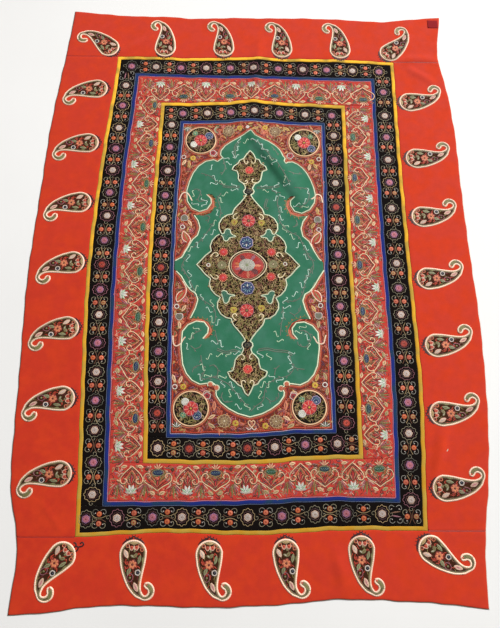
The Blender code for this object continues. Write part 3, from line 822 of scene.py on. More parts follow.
def after(line, axis, value):
    """The rest of a row of points from a coordinate value on."""
    point, k = crossing(line, axis, value)
    return np.append(point, line[k:])


def before(line, axis, value):
    """The first stretch of a row of points, up to a coordinate value."""
    point, k = crossing(line, axis, value)
    return np.append(line[:k], point)


def strip_outline(outer, inner, side, owns_start, owns_end):
    """Outline of the border strip on one side, with or without the corner squares at its ends."""
    k = SIDES.index(side)
    previous, following = SIDES[k - 1], SIDES[(k + 1) % 4]
    along = ALONG[side]
    first, last = (coordinate(inner[side][end], along) for end in (0, -1))
    run = 1 if last > first else -1
    outer_line, inner_line = outer[side], inner[side]
    head, tail = np.array([], complex), np.array([], complex)
    if owns_start:
        head = after(outer[previous], 1 - along, coordinate(inner_line[0], 1 - along))[:-1]
    else:
        outer_line = after(outer_line, along, first + run * GAP)
        inner_line = after(inner_line, along, first + run * GAP)
    if owns_end:
        tail = before(outer[following], 1 - along, coordinate(inner[side][-1], 1 - along))[1:]
    else:
        outer_line = before(outer_line, along, last - run * GAP)
        inner_line = before(inner_line, along, last - run * GAP)
    return np.concatenate([head, outer_line, tail, inner_line[::-1]])


def lift(points):
    """Height of the lining's underside above the floor, at places in the plane."""
    height = np.zeros(points.shape)
    for ripple in RIPPLES:
        start, end = complex(*ripple["start"]), complex(*ripple["end"])
        local = (points - start) / (end - start)
        share = np.clip(local.real, 0, 1)
        across = local.imag * abs(end - start) / ripple["width"]
        across = np.clip(across + RIPPLE_SWAY * np.sin(7 * share), -0.5, 0.5)
        height += ripple["height"] * np.sin(math.pi * share) * np.cos(math.pi * across) ** 2
    for crease in CREASES:
        start, end = complex(*crease["start"]), complex(*crease["end"])
        local = (points - start) / (end - start)
        share = np.clip(local.real, 0, 1)
        across = local.imag * abs(end - start)
        across = np.clip(across / np.where(across > 0, crease["left"], crease["right"]), -1, 1)
        flank = np.cos(0.5 * math.pi * across) ** 2
        height += crease["height"] * np.sin(math.pi * share) ** 0.8 * flank
    for wave in UNEVEN:
        phase = points.real / wave["across"] + points.imag / wave["up"]
        height += wave["height"] * 0.5 * (1 + np.sin(2 * math.pi * phase))
    return height


def to_world(points, levels):
    """World coordinates, in metres, of places in the plane at levels above the lining's underside."""
    moved = points - MIDDLE
    return np.stack((moved.real, moved.imag, levels + lift(points)), -1) * MM


def resample(outline, step):
    """Points along a closed outline, no further apart than a step, with every corner kept."""
    rows = []
    for a, b in zip(outline, np.roll(outline, -1)):
        count = max(1, math.ceil(abs(b - a) / step))
        rows.append(a + (b - a) * np.arange(count) / count)
    return np.concatenate(rows)


def distance_to(points, line):
    """Shortest distance from each point to a closed outline, and whether it lies inside it."""
    a, b = line, np.roll(line, -1)
    edge = b - a
    nearest = np.full(points.shape, np.inf)
    inside = np.zeros(points.shape, bool)
    for start, span, end in zip(a, edge, b):
        local = (points - start) / span
        share = np.clip(local.real, 0, 1)
        nearest = np.minimum(nearest, abs(points - start - share * span))
        crosses = (start.imag > points.imag) != (end.imag > points.imag)
        if span.imag:
            x = start.real + (points.imag - start.imag) * span.real / span.imag
            inside ^= crosses & (points.real < x)
    return nearest, inside


def flat_net(outline, pitch):
    """Points and triangles over an outline: its edge, a row just inside it and an even net."""
    edge = resample(outline, EDGE_STEP)
    tangent = np.roll(edge, -1) - np.roll(edge, 1)
    row = edge - 1j * EDGE_ROLL * tangent / abs(tangent)
    lines_up = np.arange(edge.imag.min(), edge.imag.max(), pitch * 0.87)
    places = []
    for k, y in enumerate(lines_up):
        x = np.arange(edge.real.min() + pitch * 0.5 * (k % 2), edge.real.max(), pitch)
        places.append(x + 1j * y)
    places = np.concatenate(places)
    away, inside = distance_to(places, edge)
    places = places[inside & (away > EDGE_ROLL + 0.45 * pitch)]
    away, inside = distance_to(row, edge)
    row = row[inside & (away > 0.8 * EDGE_ROLL)]
    points = np.concatenate([edge, row, places])
    order = np.arange(len(edge))
    borders = np.stack((order, np.roll(order, -1)), 1)
    flat = np.stack((points.real, points.imag), 1)
    verts, _, faces, _, _, _ = delaunay_2d_cdt(flat.tolist(), borders.tolist(), [], 1, 1e-3)
    found = np.array([complex(*v) for v in verts])
    triangles = np.array([list(face) for face in faces])
    a, b, c = found[triangles].T
    backward = (np.conj(b - a) * (c - a)).imag < 0
    triangles[backward] = triangles[backward][:, ::-1]
    return found, triangles


def slab_arrays(points, triangles, base, top, fall):
    """Closed thin sheet over a flat net, its top edge rolled down."""
    count = len(points)
    edges = np.concatenate([triangles[:, [0, 1]], triangles[:, [1, 2]], triangles[:, [2, 0]]])
    key = np.sort(edges, 1) @ np.array([count, 1])
    _, first, uses = np.unique(key, return_index=True, return_counts=True)
    rim = edges[first[uses == 1]]
    levels = np.full(count, float(top))
    levels[rim.ravel()] = top - fall
    upper = to_world(points, levels)
    lower = to_world(points, np.full(count, float(base)))
    sides = np.concatenate([
        np.stack((rim[:, 1], rim[:, 0], rim[:, 0] + count), 1),
        np.stack((rim[:, 1], rim[:, 0] + count, rim[:, 1] + count), 1)])
    faces = np.concatenate([triangles, triangles[:, ::-1] + count, sides])
    return np.concatenate([upper, lower]), faces


def mesh_object(name, points, faces, material):
    """Smooth mesh object from arrays of points and faces."""
    mesh = bpy.data.meshes.new(name)
    mesh.from_pydata(points.tolist(), [], faces.tolist())
    mesh.shade_smooth()
    mesh.materials.append(material)
    obj = bpy.data.objects.new(name, mesh)
    bpy.context.scene.collection.objects.link(obj)
    return obj


def lay_cloth(node, outline, base, top, slot, pitch=CLOTH_PITCH):
    """One cloth laid in the place of its CAD node."""
    points, triangles = flat_net(outline, pitch)
    arrays = slab_arrays(points, triangles, base, top, EDGE_FALL)
    cloth = mesh_object(f"cloth_{node}", *arrays, MATERIALS[slot])
    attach(cloth, "root")
    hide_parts(node)


def lay_fillet(node, seam, width, slot):
    """One narrow ring of cloth inside a seam, a little crowned."""
    profile = (
        {"share": 0.0, "level": FACE_BASE},
        {"share": 1.0, "level": FACE_BASE},
        {"share": 1.0, "level": FACE_TOP - EDGE_FALL},
        {"share": 0.8, "level": FACE_TOP + 0.1},
        {"share": 0.5, "level": FACE_TOP + 0.3},
        {"share": 0.2, "level": FACE_TOP + 0.1},
        {"share": 0.0, "level": FACE_TOP - EDGE_FALL},
    )
    rows = []
    for place in profile:
        inset = GAP / 2 + (width - GAP) * place["share"]
        loop = loop_of(seam_lines(seam, inset))
        rows.append(to_world(loop, np.full(loop.shape, place["level"])))
    count, around = len(rows[0]), len(rows)
    points = np.stack(rows, 1).reshape(-1, 3)
    index = np.arange(count * around).reshape(count, around)
    following = np.roll(index, -1, 0)
    faces = np.stack((index, following, np.roll(following, -1, 1), np.roll(index, -1, 1)), -1)
    ring = mesh_object(f"cloth_{node}", points, faces.reshape(-1, 4), MATERIALS[slot])
    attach(ring, "root")
    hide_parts(node)


def cartouche_outline():
    """Closed clockwise outline of the green cartouche."""
    upper = np.array([complex(out, up) for out, up, down in CARTOUCHE_QUARTER])
    lower = np.array([complex(out, -down) for out, up, down in CARTOUCHE_QUARTER])
    upper_right = np.array([complex(*row) for row in CARTOUCHE_UPPER_RIGHT])
    left = -np.conj(np.concatenate([lower, upper[::-1]]))
    outline = CARTOUCHE_CENTRE + np.concatenate([upper_right, lower[::-1], left[left.real < 0]])
    return np.where(outline.real < CARTOUCHE_TIP["left_of"], outline - CARTOUCHE_TIP["reach"], outline)


def medallion_outline():
    """Closed clockwise outline of the medallion with its pendants."""
    right = np.array([complex(*row) for row in MEDALLION_QUARTER])
    lower_right = np.conj(right[-2::-1])
    upper, lower = HERE(UPPER_PENDANT), HERE(LOWER_PENDANT)
    centre = MEDALLION_CENTRE
    return np.concatenate([upper, centre + right, centre + lower_right, lower,
                           centre - right, centre - np.conj(right[-2::-1])])


def arc(centre, radius, first, last, steps):
    """Points along an arc between two angles."""
    angle = np.radians(np.linspace(first, last, steps + 1))
    return centre + radius * np.exp(1j * angle)


def boteh_outline():
    """Outline of one boteh about the centre of its head, anticlockwise."""
    return np.concatenate([
        arc(0, BOTEH_HEAD_RADIUS, *BOTEH_HEAD_ARC),
        np.array([complex(*point) for point in BOTEH_BACK]),
        arc(BOTEH_CURL_CENTRE, BOTEH_CURL_RADIUS, *BOTEH_CURL_ARC),
        np.array([complex(*point) for point in BOTEH_CURL_TIP + BOTEH_SLOT + BOTEH_BELLY]),
    ])


def turned(points, head, turn):
    """Motif points turned and moved to a place on the panel."""
    return complex(*head) + np.asarray(points) * np.exp(1j * math.radians(turn))


def lay_border(name, outer, inner, corners, slot):
    """Four strips of a border, each with the corner squares that it owns."""
    for k, side in enumerate(SIDES):
        owns = corners[k] == side, corners[(k + 1) % 4] == side
        lay_cloth(f"{name}_{side}", strip_outline(outer, inner, side, *owns),
                  FACE_BASE, FACE_TOP, slot)


def lay_cloths():
    """Every cloth of the panel, each strip between the seams beside it."""
    half = GAP / 2
    lay_cloth("lining", loop_of(seam_lines(CLOTH_EDGE, 0)), 0, LINING_TOP, "lining", LINING_PITCH)
    lay_border("red_border", seam_lines(CLOTH_EDGE, LINING_SHOWS), seam_lines(OUTER_FRAME, -half),
               LEVEL_CORNERS, "red_cloth")
    lay_fillet("yellow_fillet_outer", OUTER_FRAME, OUTER_YELLOW, "yellow_cloth")
    lay_border("black_band_outer", seam_lines(OUTER_FRAME, OUTER_YELLOW + half),
               seam_lines(MAIN_BORDER, -half), OUTER_BLACK_CORNERS, "black_cloth")
    lay_fillet("blue_fillet_outer", MAIN_BORDER, OUTER_BLUE, "blue_cloth")
    lay_border("main_border", seam_lines(MAIN_BORDER, OUTER_BLUE + half),
               seam_lines(INNER_FRAME, -half), LEVEL_CORNERS, "border_cloth")
    lay_fillet("yellow_fillet_inner", INNER_FRAME, INNER_YELLOW, "yellow_cloth")
    lay_border("black_band_inner", seam_lines(INNER_FRAME, INNER_YELLOW + half),
               seam_lines(FIELD_FRAME, -half), LEVEL_CORNERS, "black_cloth")
    lay_fillet("blue_fillet_inner", FIELD_FRAME, INNER_BLUE, "blue_cloth")
    lay_cloth("field_ground", loop_of(seam_lines(FIELD_FRAME, INNER_BLUE + half)),
              FACE_BASE, FACE_TOP, "field_cloth")
    lay_cloth("green_cartouche", CARTOUCHE, APPLIED_BASE, APPLIED_TOP, "green_cloth")
    lay_cloth("medallion", MEDALLION, UPPER_BASE, UPPER_TOP, "medallion_cloth")
    for node, (centre, radius) in ROUNDELS.items():
        lay_cloth(node, arc(complex(*centre), radius, 360, 0, 60)[:-1],
                  APPLIED_BASE, APPLIED_TOP, "roundel_cloth")
    for node, (head, turn) in BOTEHS.items():
        outline = turned(boteh_outline(), head, turn)[::-1]
        lay_cloth(node, outline, APPLIED_BASE, APPLIED_TOP, "boteh_cloth")
    corners = np.array([-1 + 1j, 1 + 1j, 1 - 1j, -1 - 1j]) / 2
    patch = PATCH_CENTRE + corners.real * PATCH_SIZE.real + 1j * corners.imag * PATCH_SIZE.imag
    lay_cloth("corner_patch", patch, APPLIED_BASE, APPLIED_TOP, "patch_cloth")


class Spot:
    """A place for a motif: where its origin lies, its turn, its size and whether it is mirrored."""

    def __init__(self, at=0, turn=0.0, size=1.0, mirrored=False, parent=None):
        self.at = at if isinstance(at, (complex, int, float)) else complex(*at)
        self.turn = size * np.exp(1j * math.radians(turn))
        self.mirrored = mirrored
        self.parent = parent

    def __call__(self, points):
        if isinstance(points, (list, tuple)):
            points = [point if isinstance(point, (complex, int, float)) else complex(*point)
                      for point in points]
        points = np.asarray(points, complex)
        if self.mirrored:
            points = -np.conj(points)
        points = self.at + self.turn * points
        return self.parent(points) if self.parent else points

    def spot(self, at=0, turn=0.0, size=1.0, mirrored=False):
        """A spot given in this one's own frame."""
        return Spot(at, turn, size, mirrored, self)


HERE = Spot()


def curve(points, closed=False, step=STEP):
    """Evenly spaced points on a smooth curve through the given ones."""
    points = np.asarray(points, complex)
    count = len(points)
    if count < 3:
        span = points[-1] - points[0]
        return points[0] + span * np.linspace(0, 1, max(2, round(abs(span) / step) + 1))
    spans = count if closed else count - 1
    fine = []
    t = np.linspace(0, 1, 8, endpoint=False)
    for k in range(spans):
        if closed:
            a, b, c, d = (points[(k + shift) % count] for shift in (-1, 0, 1, 2))
        else:
            b, c = points[k], points[k + 1]
            a = points[k - 1] if k else 2 * b - c
            d = points[k + 2] if k + 2 < count else 2 * c - b
        fine.append(b + 0.5 * t * (c - a + t * (2 * a - 5 * b + 4 * c - d + t * (3 * (b - c) + d - a))))
    fine.append(points[:1] if closed else points[-1:])
    fine = np.concatenate(fine)
    return even(fine, step)


def even(line, step=STEP):
    """The same line with evenly spaced points."""
    run = np.concatenate([[0], np.cumsum(abs(np.diff(line)))])
    count = max(2, round(run[-1] / step) + 1)
    places = np.linspace(0, run[-1], count)
    return np.interp(places, run, line.real) + 1j * np.interp(places, run, line.imag)


def thinned(line, bend=0.18, reach=8.0):
    """A line without the points that neither its bends nor the cloth's ripples need."""
    heading = np.unwrap(np.angle(np.diff(line)))
    keep = [0]
    for k in range(1, len(line) - 1):
        if abs(heading[k] - heading[keep[-1]]) > bend or abs(line[k + 1] - line[keep[-1]]) > reach:
            keep.append(k)
    return line[keep + [len(line) - 1]]


def spiral(centre, first_radius, last_radius, first, last, count=10):
    """Control points of a curl round a centre, between two angles."""
    share = np.linspace(0, 1, count)
    radius = first_radius + (last_radius - first_radius) * share
    angle = np.radians(first + (last - first) * share)
    return complex(centre) + radius * np.exp(1j * angle)


def linear(colour):
    """Linear light of a display colour."""
    share = np.asarray(colour, float) / 255
    return np.where(share <= 0.04045, share / 12.92, ((share + 0.055) / 1.055) ** 2.4)


class Threads:
    """Stitches that lie on the cloths of one region, gathered into one mesh."""

    def __init__(self, level):
        self.level = level
        self.rise = 0.0
        self.points, self.levels, self.quads, self.dyes, self.stitches = [], [], [], [], []
        self.count = 0

    def grid(self, points, heights, along, across, dye):
        """Add a grid of points, rows along the stitches and columns across them."""
        rows, columns = points.shape
        index = self.count + np.arange(rows * columns).reshape(rows, columns)
        quads = np.stack((index[:-1, :-1], index[1:, :-1], index[1:, 1:], index[:-1, 1:]), -1)
        self.points.append(points.ravel())
        self.levels.append(np.broadcast_to(heights, points.shape).ravel() + self.level + self.rise)
        self.quads.append(quads.reshape(-1, 4))
        # Painted shade: the dye is darkened at the heights where less light falls
        painted_shade = np.interp(points.imag.mean(), PAINTED_SHADE_BY_HEIGHT["heights"], PAINTED_SHADE_BY_HEIGHT["shares"])
        colour = linear(DYES[dye]) * np.clip(1 + RANDOM.normal(0, DYE_SPREAD), 0.8, 1.2) * (1 - painted_shade)
        self.dyes.append(np.tile(np.append(colour, 1.0), (rows * columns, 1)))
        place = np.stack(np.broadcast_arrays(along[:, None], across[None, :]), -1)
        self.stitches.append(place.reshape(-1, 2))
        self.count += rows * columns

    def line(self, points, dye, width=THREAD, closed=False, taper=False, rows=1, profile=None,
             link=LINK):
        """One or more rows of stitches side by side along a line of points."""
        points = np.asarray(points, complex)
        if closed:
            around = np.append(points, points[0]) if abs(points[0] - points[-1]) > 0.01 else points
            around = thinned(around)
            step = np.roll(around[:-1], -1) - np.roll(around[:-1], 1)
            tangent = np.append(step, step[0])
            points = around
        else:
            points = points if taper else thinned(points)
            tangent = np.gradient(points)
        left = 1j * tangent / np.maximum(abs(tangent), 1e-9)
        widths = np.full(len(points), float(width))
        if taper:
            share = np.linspace(0, 1, len(points))
            widths *= np.clip(np.sin(math.pi * np.clip(share, 0.02, 0.98)), 0.12, 1) ** 0.7
        if profile is None:
            columns = max(rows, 2)
            across = np.linspace(0, rows, columns + 1)
            heights = np.full(columns + 1, THREAD_HEIGHT if rows < 3 else ROW_HEIGHT)
            heights[0] = heights[-1] = EDGE_HEIGHT
            offsets = across / rows - 0.5
        else:
            across = np.array([row["row"] for row in profile], float)
            heights = np.array([row["height"] for row in profile])
            offsets = np.array([row["offset"] for row in profile])
        net = points[:, None] + left[:, None] * widths[:, None] * offsets[None, :]
        run = np.concatenate([[0], np.cumsum(abs(np.diff(points)))]) / link
        self.grid(net, heights, run, across, dye)

    def stroke(self, points, dye, width, rows=1):
        """A smooth line of stitches through a few points."""
        self.line(curve(points, step=FINE_STEP), dye, width, rows=rows)

    def petal(self, spot, dye, length, width, bend=0.0):
        """A leaf or petal of close rows, from the spot's origin along its x axis."""
        share = np.linspace(0, 1, max(4, round(length / STEP) + 1))
        spine = length * share + 1j * bend * length * np.sin(math.pi * share)
        rows = max(1, round(width / ROW))
        self.line(spot(spine), dye, width, taper=True, rows=rows)

    def disc(self, spot, dye, radius, lobes=0, depth=0.0, centre=0.0, turn=0.0, long=1.0):
        """A round or lobed patch of close rows about the spot's origin."""
        count = max(10, lobes * 4, round(2 * math.pi * radius / STEP))
        angle = np.linspace(0, 2 * math.pi, count + 1)
        wave = 0.5 + 0.5 * np.cos(lobes * (angle - math.radians(turn)))
        reach = 1.0 - depth * wave if lobes else 1.0
        rows = max(1, round((radius - centre) / ROW))
        across = np.append(0, np.linspace(0.5, rows, max(rows, 2)))
        radii = radius + (max(centre, 0.3) - radius) * across / rows
        heights = np.where(across, ROW_HEIGHT, EDGE_HEIGHT)
        ray = np.exp(1j * angle) * reach
        ray = ray.real * long + 1j * ray.imag
        net = spot((ray[:, None] * radii[None, :]).ravel()).reshape(count + 1, -1)
        if self.turning(net[:, 0]) < 0:
            net = net[::-1]
        self.grid(net, heights, angle * radius / LINK, across, dye)

    def patch(self, outline, dye):
        """Close rows inside an outline that shrink to its middle."""
        line = even(np.append(outline, outline[0]), STEP)
        if self.turning(line) < 0:
            line = line[::-1]
        middle = line[:-1].mean()
        rows = max(1, round(abs(line - middle).max() / ROW))
        across = np.append(0, np.linspace(0.5, rows, max(rows, 2)))
        heights = np.where(across, ROW_HEIGHT, EDGE_HEIGHT)
        net = middle + (line - middle)[:, None] * (1 - 0.98 * across / rows)[None, :]
        self.grid(net, heights, np.arange(len(line)) * STEP / LINK, across, dye)

    @staticmethod
    def turning(line):
        """Signed area of a closed line, positive when it runs anticlockwise."""
        middle = line.mean()
        return (np.conj(line[:-1] - middle) * (line[1:] - middle)).imag.sum()

    def ring(self, spot, dye, radius, width=THREAD, lobes=0, depth=0.0, rows=1, long=1.0):
        """A round or scalloped ring about the spot's origin."""
        count = max(12, lobes * 4, round(2 * math.pi * radius / STEP))
        angle = np.linspace(0, 2 * math.pi, count, endpoint=False)
        reach = radius * (1 - depth * abs(np.cos(lobes * angle / 2)) ** 3) if lobes else radius
        ray = np.exp(1j * angle) * reach
        self.line(spot(ray.real * long + 1j * ray.imag), dye, width, closed=True, rows=rows)

    def build(self, name):
        """The mesh of every stitch kept so far."""
        points = to_world(np.concatenate(self.points), np.concatenate(self.levels))
        obj = mesh_object(name, points, np.concatenate(self.quads), MATERIALS["silk"])
        mesh = obj.data
        dyes = mesh.color_attributes.new("dye", "FLOAT_COLOR", "POINT")
        dyes.data.foreach_set("color", np.concatenate(self.dyes).astype(np.float32).ravel())
        layer = mesh.uv_layers.new(name="stitches")
        corners = np.zeros(len(mesh.loops), np.int32)
        mesh.loops.foreach_get("vertex_index", corners)
        places = np.concatenate(self.stitches)[corners]
        layer.data.foreach_set("uv", places.astype(np.float32).ravel())
        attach(obj, "root")


def outlined_leaf(threads, spot, length, width, edge, inside, bend=0.0):
    """A leaf with an edge of one dye and a smaller inside of another."""
    threads.petal(spot, edge, length, width, bend)
    threads.rise += MOTIF_RISE
    threads.petal(spot.spot(0.17 * length), inside, 0.66 * length, 0.42 * width, bend)
    threads.rise -= MOTIF_RISE


def petal_flower(threads, spot, radius, petals, dye, eye, gap="dark_red", eye_size=0.22, edge=None):
    """A round flower of broad petals parted by thin lines, with an eye."""
    if edge:
        threads.ring(spot, edge, radius + 0.9, 2.6, lobes=petals, depth=0.16)
    threads.disc(spot, dye, radius, lobes=petals, depth=0.16, turn=180 / petals)
    threads.rise += LAYER
    for k in range(petals):
        ray = spot.spot(0, 360 * k / petals)
        threads.line(ray(curve([0.3 * radius, 0.9 * radius])), gap, 1.1 + 0.03 * radius)
    threads.disc(spot, gap, (eye_size + 0.08) * radius)
    threads.rise += LAYER
    threads.disc(spot, eye, eye_size * radius)
    threads.rise -= 2 * LAYER


def dotted_flower(threads, spot, radius, heart, dots, dye, eye):
    """Round heart with an eye, in a ring of small dots."""
    threads.disc(spot, heart, 0.72 * radius)
    for k in range(dots):
        threads.disc(spot.spot(0, 360 * k / dots).spot(0.86 * radius), dye, 0.15 * radius)
    threads.rise += LAYER
    threads.ring(spot, "dark_red", 0.44 * radius, 1.8)
    threads.disc(spot, eye, 0.22 * radius)
    threads.rise -= LAYER


def wheel_flower(threads, spot, radius, dye, line, eye):
    """Broad scalloped flower with pale lines from a dark heart."""
    threads.disc(spot, dye, radius, lobes=8, depth=0.12, turn=22.5)
    threads.ring(spot, "rose", radius + 0.6, 2.2, lobes=8, depth=0.12)
    threads.rise += LAYER
    for k in range(8):
        threads.line(spot.spot(0, 45 * k)(curve([0.34 * radius, 0.94 * radius])), line, 2.6)
        threads.line(spot.spot(0, 45 * k + 22.5)(curve([0.44 * radius, 0.8 * radius])), "crimson", 2.0)
    threads.disc(spot, "dark_red", 0.32 * radius)
    threads.rise += LAYER
    threads.disc(spot, eye, 0.17 * radius)
    threads.rise -= 2 * LAYER


def navy_flower(threads, spot, radius):
    """Blue flower with pale petals above, white dots below and a lilac rim."""
    threads.disc(spot, "cobalt", radius, lobes=7, depth=0.1)
    threads.ring(spot, "lilac", radius + 0.6, 2.4, lobes=7, depth=0.1)
    threads.rise += LAYER
    for turn in (20, 55, 90, 125, 160):
        threads.petal(spot.spot(0, turn).spot(0.25 * radius), "seafoam", 0.5 * radius, 0.2 * radius)
    for turn in (-20, -55, -90, -125, -160):
        threads.disc(spot.spot(0, turn).spot(0.6 * radius), ("white", "seafoam")[turn % 2],
                     0.12 * radius)
    threads.disc(spot, "navy", 0.24 * radius)
    threads.disc(spot.spot(-0.38j * radius), "white", 0.16 * radius)
    threads.rise -= LAYER


def spiral_flower(threads, spot, radius, dye, line):
    """Round pale flower with a spiral line."""
    threads.disc(spot, dye, radius)
    threads.rise += LAYER
    threads.stroke(spot(spiral(0, 0.2 * radius, 0.86 * radius, 0, 620, 16)), line, 1.8)
    threads.rise -= LAYER


def s_curl(threads, spot, dye, length, width, sway=0.2):
    """A short S-shaped stroke centred on the spot."""
    half = length / 2
    points = [(-half, -sway * length), (-0.62 * half, sway * 0.2 * length),
              (-0.2 * half, 0.02 * length),
              (0.2 * half, -0.02 * length), (0.62 * half, -sway * 0.2 * length), (half, sway * length)]
    threads.line(curve(spot(points)), dye, width, taper=True)


def hook(threads, spot, dye, length, width):
    """A stroke that ends in a small curl."""
    points = [(0, 0), (0.45 * length, 0.1 * length), (0.85 * length, 0.36 * length),
              (0.86 * length, 0.7 * length), (0.55 * length, 0.74 * length),
              (0.5 * length, 0.48 * length)]
    threads.stroke(spot(points), dye, width)


def uneven_net(outline, pitch):
    """Uneven net of places over an outline's whole extent."""
    x = np.arange(outline.real.min(), outline.real.max(), pitch)
    y = np.arange(outline.imag.min(), outline.imag.max(), pitch)
    places = (x[:, None] + 1j * y[None, :]).ravel()
    return places + pitch * NET_JITTER * (RANDOM.uniform(-1, 1, places.shape)
                                          + 1j * RANDOM.uniform(-1, 1, places.shape))


def scatter(threads, outline, pitch, dyes, width, margin=4.0, holes=()):
    """Small curls spread evenly inside an outline, clear of round holes."""
    places = uneven_net(outline, pitch)
    away, inside = distance_to(places, outline)
    free = inside & (away > margin)
    for centre, radius in holes:
        free &= abs(places - complex(*centre)) > radius
    for place in places[free]:
        size = SCATTERED_LENGTH * RANDOM.uniform(0.7, 1.25)
        turn = RANDOM.uniform(0, 360)
        dye = dyes[RANDOM.integers(len(dyes))]
        spot = Spot(place, turn, 1.0, RANDOM.random() < 0.5)
        if RANDOM.random() < 0.5:
            hook(threads, spot.spot(-0.5 * size), dye, size, width)
        else:
            s_curl(threads, spot, dye, size, width, SCATTERED_SWAY)


def cord(threads, outline, dye, width, clockwise=True, link=LINK):
    """The raised cord sewn over the edge of an applied shape."""
    line = even(np.append(outline, outline[0]), CORD_STEP)[:-1]
    if clockwise:
        line = line[::-1]
    threads.line(line, dye, width, closed=True, profile=CORD, link=link)


def stretch(outline, start, end):
    """Part of a closed outline between the points nearest to two places, in its own direction."""
    line = even(np.append(outline, outline[0]), CORD_STEP)[:-1]
    line = np.roll(line, -int(abs(line - complex(*start)).argmin()))
    return line[:int(abs(line - complex(*end)).argmin()) + 1]


def band_spot(band, side, place):
    """Spot on the middle line of a border strip, its y axis pointing inward."""
    outer, width, inner = BAND_SEAMS[band]
    axis = ALONG[side]
    edges = []
    for line in (seam_lines(outer, width)[side], seam_lines(inner, 0)[side]):
        along = coordinate(line, axis)
        order = np.argsort(along)
        edges.append(np.interp(place, along[order], coordinate(line, 1 - axis)[order]))
    across = sum(edges) / 2
    size = min(1.04, abs(edges[0] - edges[1]) / BAND_WIDTHS[band])
    at = complex(place, across) if axis == 0 else complex(across, place)
    return Spot(at, SIDE_TURN[side], size)


def band_flower(threads, spot, heart):
    """One scalloped flower of a black band."""
    edge = ("tan", "bone", "mauve", "bone", "faded")[RANDOM.integers(5)]
    threads.ring(spot, edge, FLOWER_RADIUS, 1.7, lobes=10, depth=0.15, long=FLOWER_SQUEEZE)
    threads.ring(spot, "wine", 17.5, 3.0, lobes=10, depth=0.14, long=FLOWER_SQUEEZE)
    if heart == "w":
        petal_flower(threads, spot, 10, 6, "pearl", "khaki", gap="mauve", edge="blush", eye_size=0.2)
    elif heart == "p":
        petal_flower(threads, spot, 10.5, 6, "rose", "crimson", gap="mauve", edge="orchid",
                     eye_size=0.26)
    else:
        petal_flower(threads, spot, 11, 6, "brick", "dark_red", gap="wine", edge="dark_red")


def band_pair(threads, spot):
    """Two orange discs with their curls, between two flowers."""
    for above in (1, -1):
        disc = spot.spot(1j * PAIR_OUT * above)
        threads.disc(disc, ("orange", "copper", "khaki", "coral")[RANDOM.integers(4)], 7.0)
        threads.rise += LAYER
        threads.disc(disc, "brick", 3.6)
        threads.rise -= LAYER
        threads.ring(disc, "brick", 7.4, 1.6)
        for side in (1, -1):
            points = [complex(side * x, above * y) for x, y in PAIR_CURL]
            dye = ("slate", "bone", "faded", "bone")[RANDOM.integers(4)]
            threads.stroke(spot(points), dye, 1.8)
            threads.disc(spot.spot(points[-1]), "pearl", 1.9)


def black_band(band):
    """All the stitches on one black band."""
    threads = Threads(FACE_TOP)
    edge = loop_of(seam_lines(*BAND_SEAMS[band][:2]))
    for side, rows in BLACK_BANDS[band].items():
        flowers = [band_spot(band, side, place) for place in rows["flowers"]]
        pairs = [band_spot(band, side, place) for place in rows["pairs"]]
        for spot, heart in zip(flowers, rows["hearts"]):
            band_flower(threads, spot, heart)
            for side_turn in (0, 180):
                curl = spot.spot(0, side_turn)
                if distance_to(curl(SIDE_CURL), edge)[1].all():
                    threads.stroke(curl(SIDE_CURL), "bone", 1.6)
        for spot in pairs:
            band_pair(threads, spot)
            for above in (1, -1):
                right = [complex(x, above * y) for x, y in STEM]
                left = [complex(-x, above * y) for x, y in STEM[:0:-1]]
                threads.line(curve(spot(left + right)), ("tan", "umber")[RANDOM.integers(2)], 1.7)
    if band == "outer":
        for row in BAND_HOOKS:
            band_hooks(threads, Spot(row["at"], SIDE_TURN[row["side"]]))
    threads.build(f"stitches_black_band_{band}")


